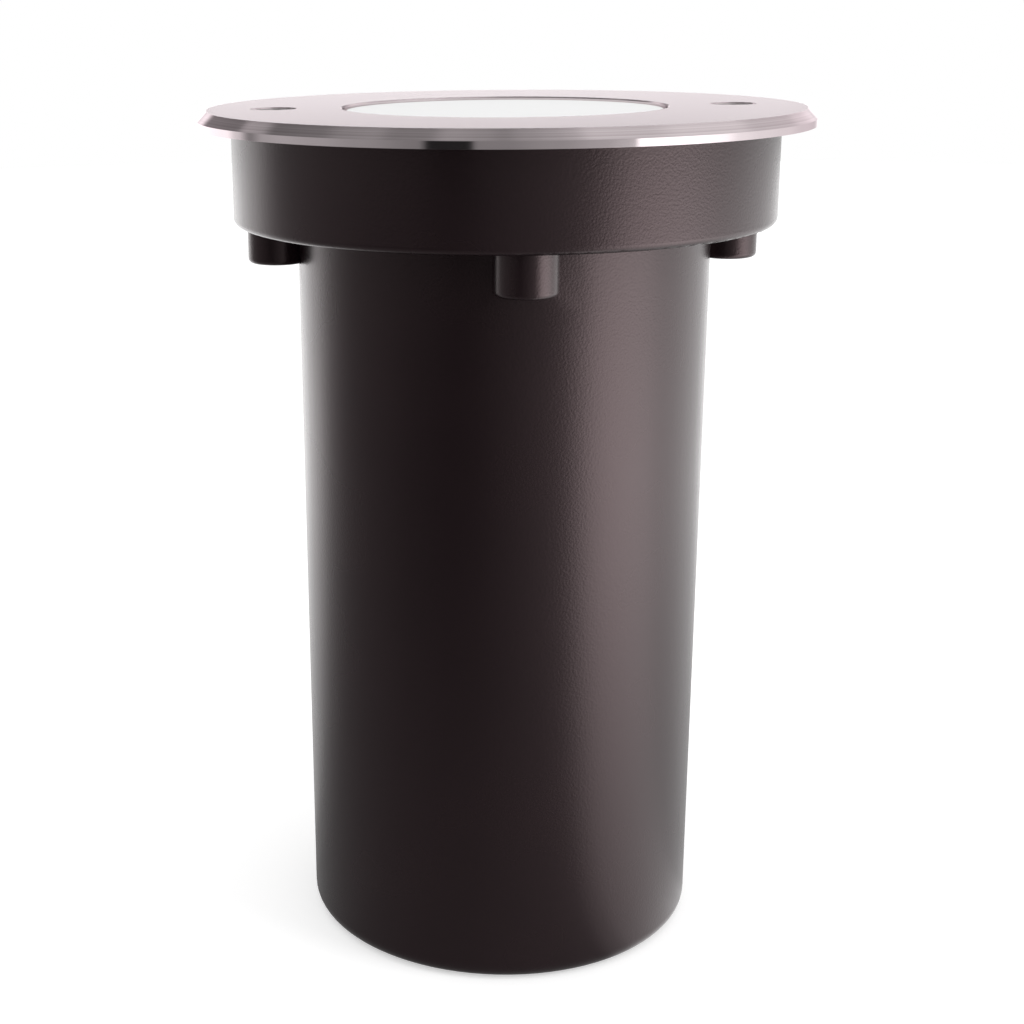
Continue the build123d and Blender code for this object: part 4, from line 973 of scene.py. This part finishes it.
def solid_boxes(node):
    """The lowest and highest corner of each separate solid of a CAD node."""
    copy = bmesh.new()
    copy.from_mesh(frame["nodes"][node].data)
    bmesh.ops.remove_doubles(copy, verts=copy.verts, dist=weld * MM)
    left = set(copy.verts)
    boxes = []
    while left:
        reached = [left.pop()]
        solid = list(reached)
        while reached:
            for edge in reached.pop().link_edges:
                for vert in edge.verts:
                    if vert in left:
                        left.remove(vert)
                        reached.append(vert)
                        solid.append(vert)
        lows = [min(vert.co[i] for vert in solid) for i in range(3)]
        highs = [max(vert.co[i] for vert in solid) for i in range(3)]
        boxes.append((Vector(lows), Vector(highs)))
    copy.free()
    return sorted(boxes, key=lambda box: tuple(box[0]))


def thread_screws(node, head, axis, head_end, sizes):
    """Stands threaded screws in a CAD node's place. Each screw's origin is this far along its axis
    from its head's end, and the axis is a vector or a function of the solid's middle."""
    origins = []
    axes = []
    for low, high in solid_boxes(node):
        middle = (low + high) / 2
        outward = Vector(axis(middle) if callable(axis) else axis)
        reach = abs((high - low).dot(outward)) / 2
        origins.append(middle + outward * (reach - head_end * MM))
        axes.append(outward)
    places_mesh = bpy.data.meshes.new(node + "_places")
    places_mesh.from_pydata(origins, [], [])
    directions = places_mesh.attributes.new("axis", "FLOAT_VECTOR", "POINT")
    for item, outward in zip(directions.data, axes):
        item.vector = outward
    places = show(node + "_places", places_mesh)
    screws = places.modifiers.new("screws", "NODES")
    screws.node_group = screw_tree
    screws[screw_input_ids["Head"]] = head
    screws[screw_input_ids["Finish"]] = stainless_fastener
    for name, size in sizes.items():
        screws[screw_input_ids[name]] = size * MM
    piece = baked(places, node + "_threaded")
    for face in piece.data.polygons:
        face.use_smooth = True
    piece.data.set_sharp_from_angle(angle=smooth_under)
    stands_for(piece, "stainless_fastener", node)


# Countersunk M4: the head's top is at the screw's origin.
m4_head_r = 3.7
m4_head_rim = 0.2
m4_edge_drop = 0.05
m4_edge_inset = 0.06
# A socket's width across its flats, and its depth.
m4_socket = (2.5, 1.4)
m4_r = 2.0
m4_neck_r = m4_r - 0.2
m4_pitch = 0.7
# The depth of a thread as a share of its pitch.
thread_share = 0.6
# A shank reaches this far into its head.
shank_overlap = 0.1
m4_cone = m4_head_r - m4_r
countersunk_outline = [
    (-m4_head_rim - m4_cone, m4_neck_r),
    (-m4_head_rim, m4_head_r),
    (-m4_edge_drop, m4_head_r),
    (0, m4_head_r - m4_edge_inset),
]
m4_head = show("m4_head", screw_head("m4_head", countersunk_outline, *m4_socket))
trim_screw_length = 16
clamp_screw_length = 10


def m4_sizes(length):
    """The thread of an M4 countersunk screw of this length."""
    depth = thread_share * m4_pitch
    return {
        "Core Radius": m4_r - depth,
        "Thread Depth": depth,
        "Pitch": m4_pitch,
        "Shank Top": -m4_head_rim - m4_cone + shank_overlap,
        "Shank End": -length,
    }


upward = (0, 0, 1)
downward = (0, 0, -1)
thread_screws("trim_screw_right", m4_head, upward, 0, m4_sizes(trim_screw_length))
thread_screws("trim_screw_left", m4_head, upward, 0, m4_sizes(trim_screw_length))
thread_screws("clamp_ring_screws", m4_head, upward, 0, m4_sizes(clamp_screw_length))

# Pan head M3: the head's underside is at the screw's origin.
m3_r = 1.45
m3_pitch = 0.5
m3_head_r = 2.75
m3_socket = (2.0, 1.2)
pan_head_height = 2.0
pan_edge_r = 0.8
m3_outline = [(0, m3_head_r)] + rounded_edge(pan_head_height, m3_head_r, pan_edge_r)
m3_head = show("m3_head", screw_head("m3_head", m3_outline, *m3_socket))


def m3_sizes(length):
    """The thread of an M3 pan head screw of this length."""
    depth = thread_share * m3_pitch
    return {
        "Core Radius": m3_r - depth,
        "Thread Depth": depth,
        "Pitch": m3_pitch,
        "Shank Top": shank_overlap,
        "Shank End": -length,
    }


def along_x(middle):
    """Outwards along X."""
    return (math.copysign(1, middle.x), 0, 0)


def along_y(middle):
    """Outwards along Y."""
    return (0, math.copysign(1, middle.y), 0)


for node, axis in (
    ("mounting_plate_screws", upward),
    ("lamp_bracket_screws", upward),
    ("holder_screws", downward),
    ("gimbal_pivot_screws", along_x),
    ("holder_bracket_screws", along_y),
    ("terminal_block_screw", upward),
):
    low, high = solid_boxes(node)[0]
    outward = Vector(axis((low + high) / 2) if callable(axis) else axis)
    length = abs((high - low).dot(outward)) / MM - pan_head_height
    thread_screws(node, m3_head, axis, pan_head_height, m3_sizes(length))

# The earth screw: M4 with a wide pan head.
earth_head_r = 3.95
earth_socket = (2.5, 1.2)
earth_outline = [(0, earth_head_r)] + rounded_edge(pan_head_height, earth_head_r, pan_edge_r)
earth_head = show("earth_head", screw_head("earth_head", earth_outline, *earth_socket))
low, high = solid_boxes("earth_screw")[0]
earth_sizes = m4_sizes((high - low).z / MM - pan_head_height)
earth_sizes["Shank Top"] = shank_overlap
thread_screws("earth_screw", earth_head, upward, pan_head_height, earth_sizes)
for head in (m4_head, m3_head, earth_head):
    bpy.data.objects.remove(head)
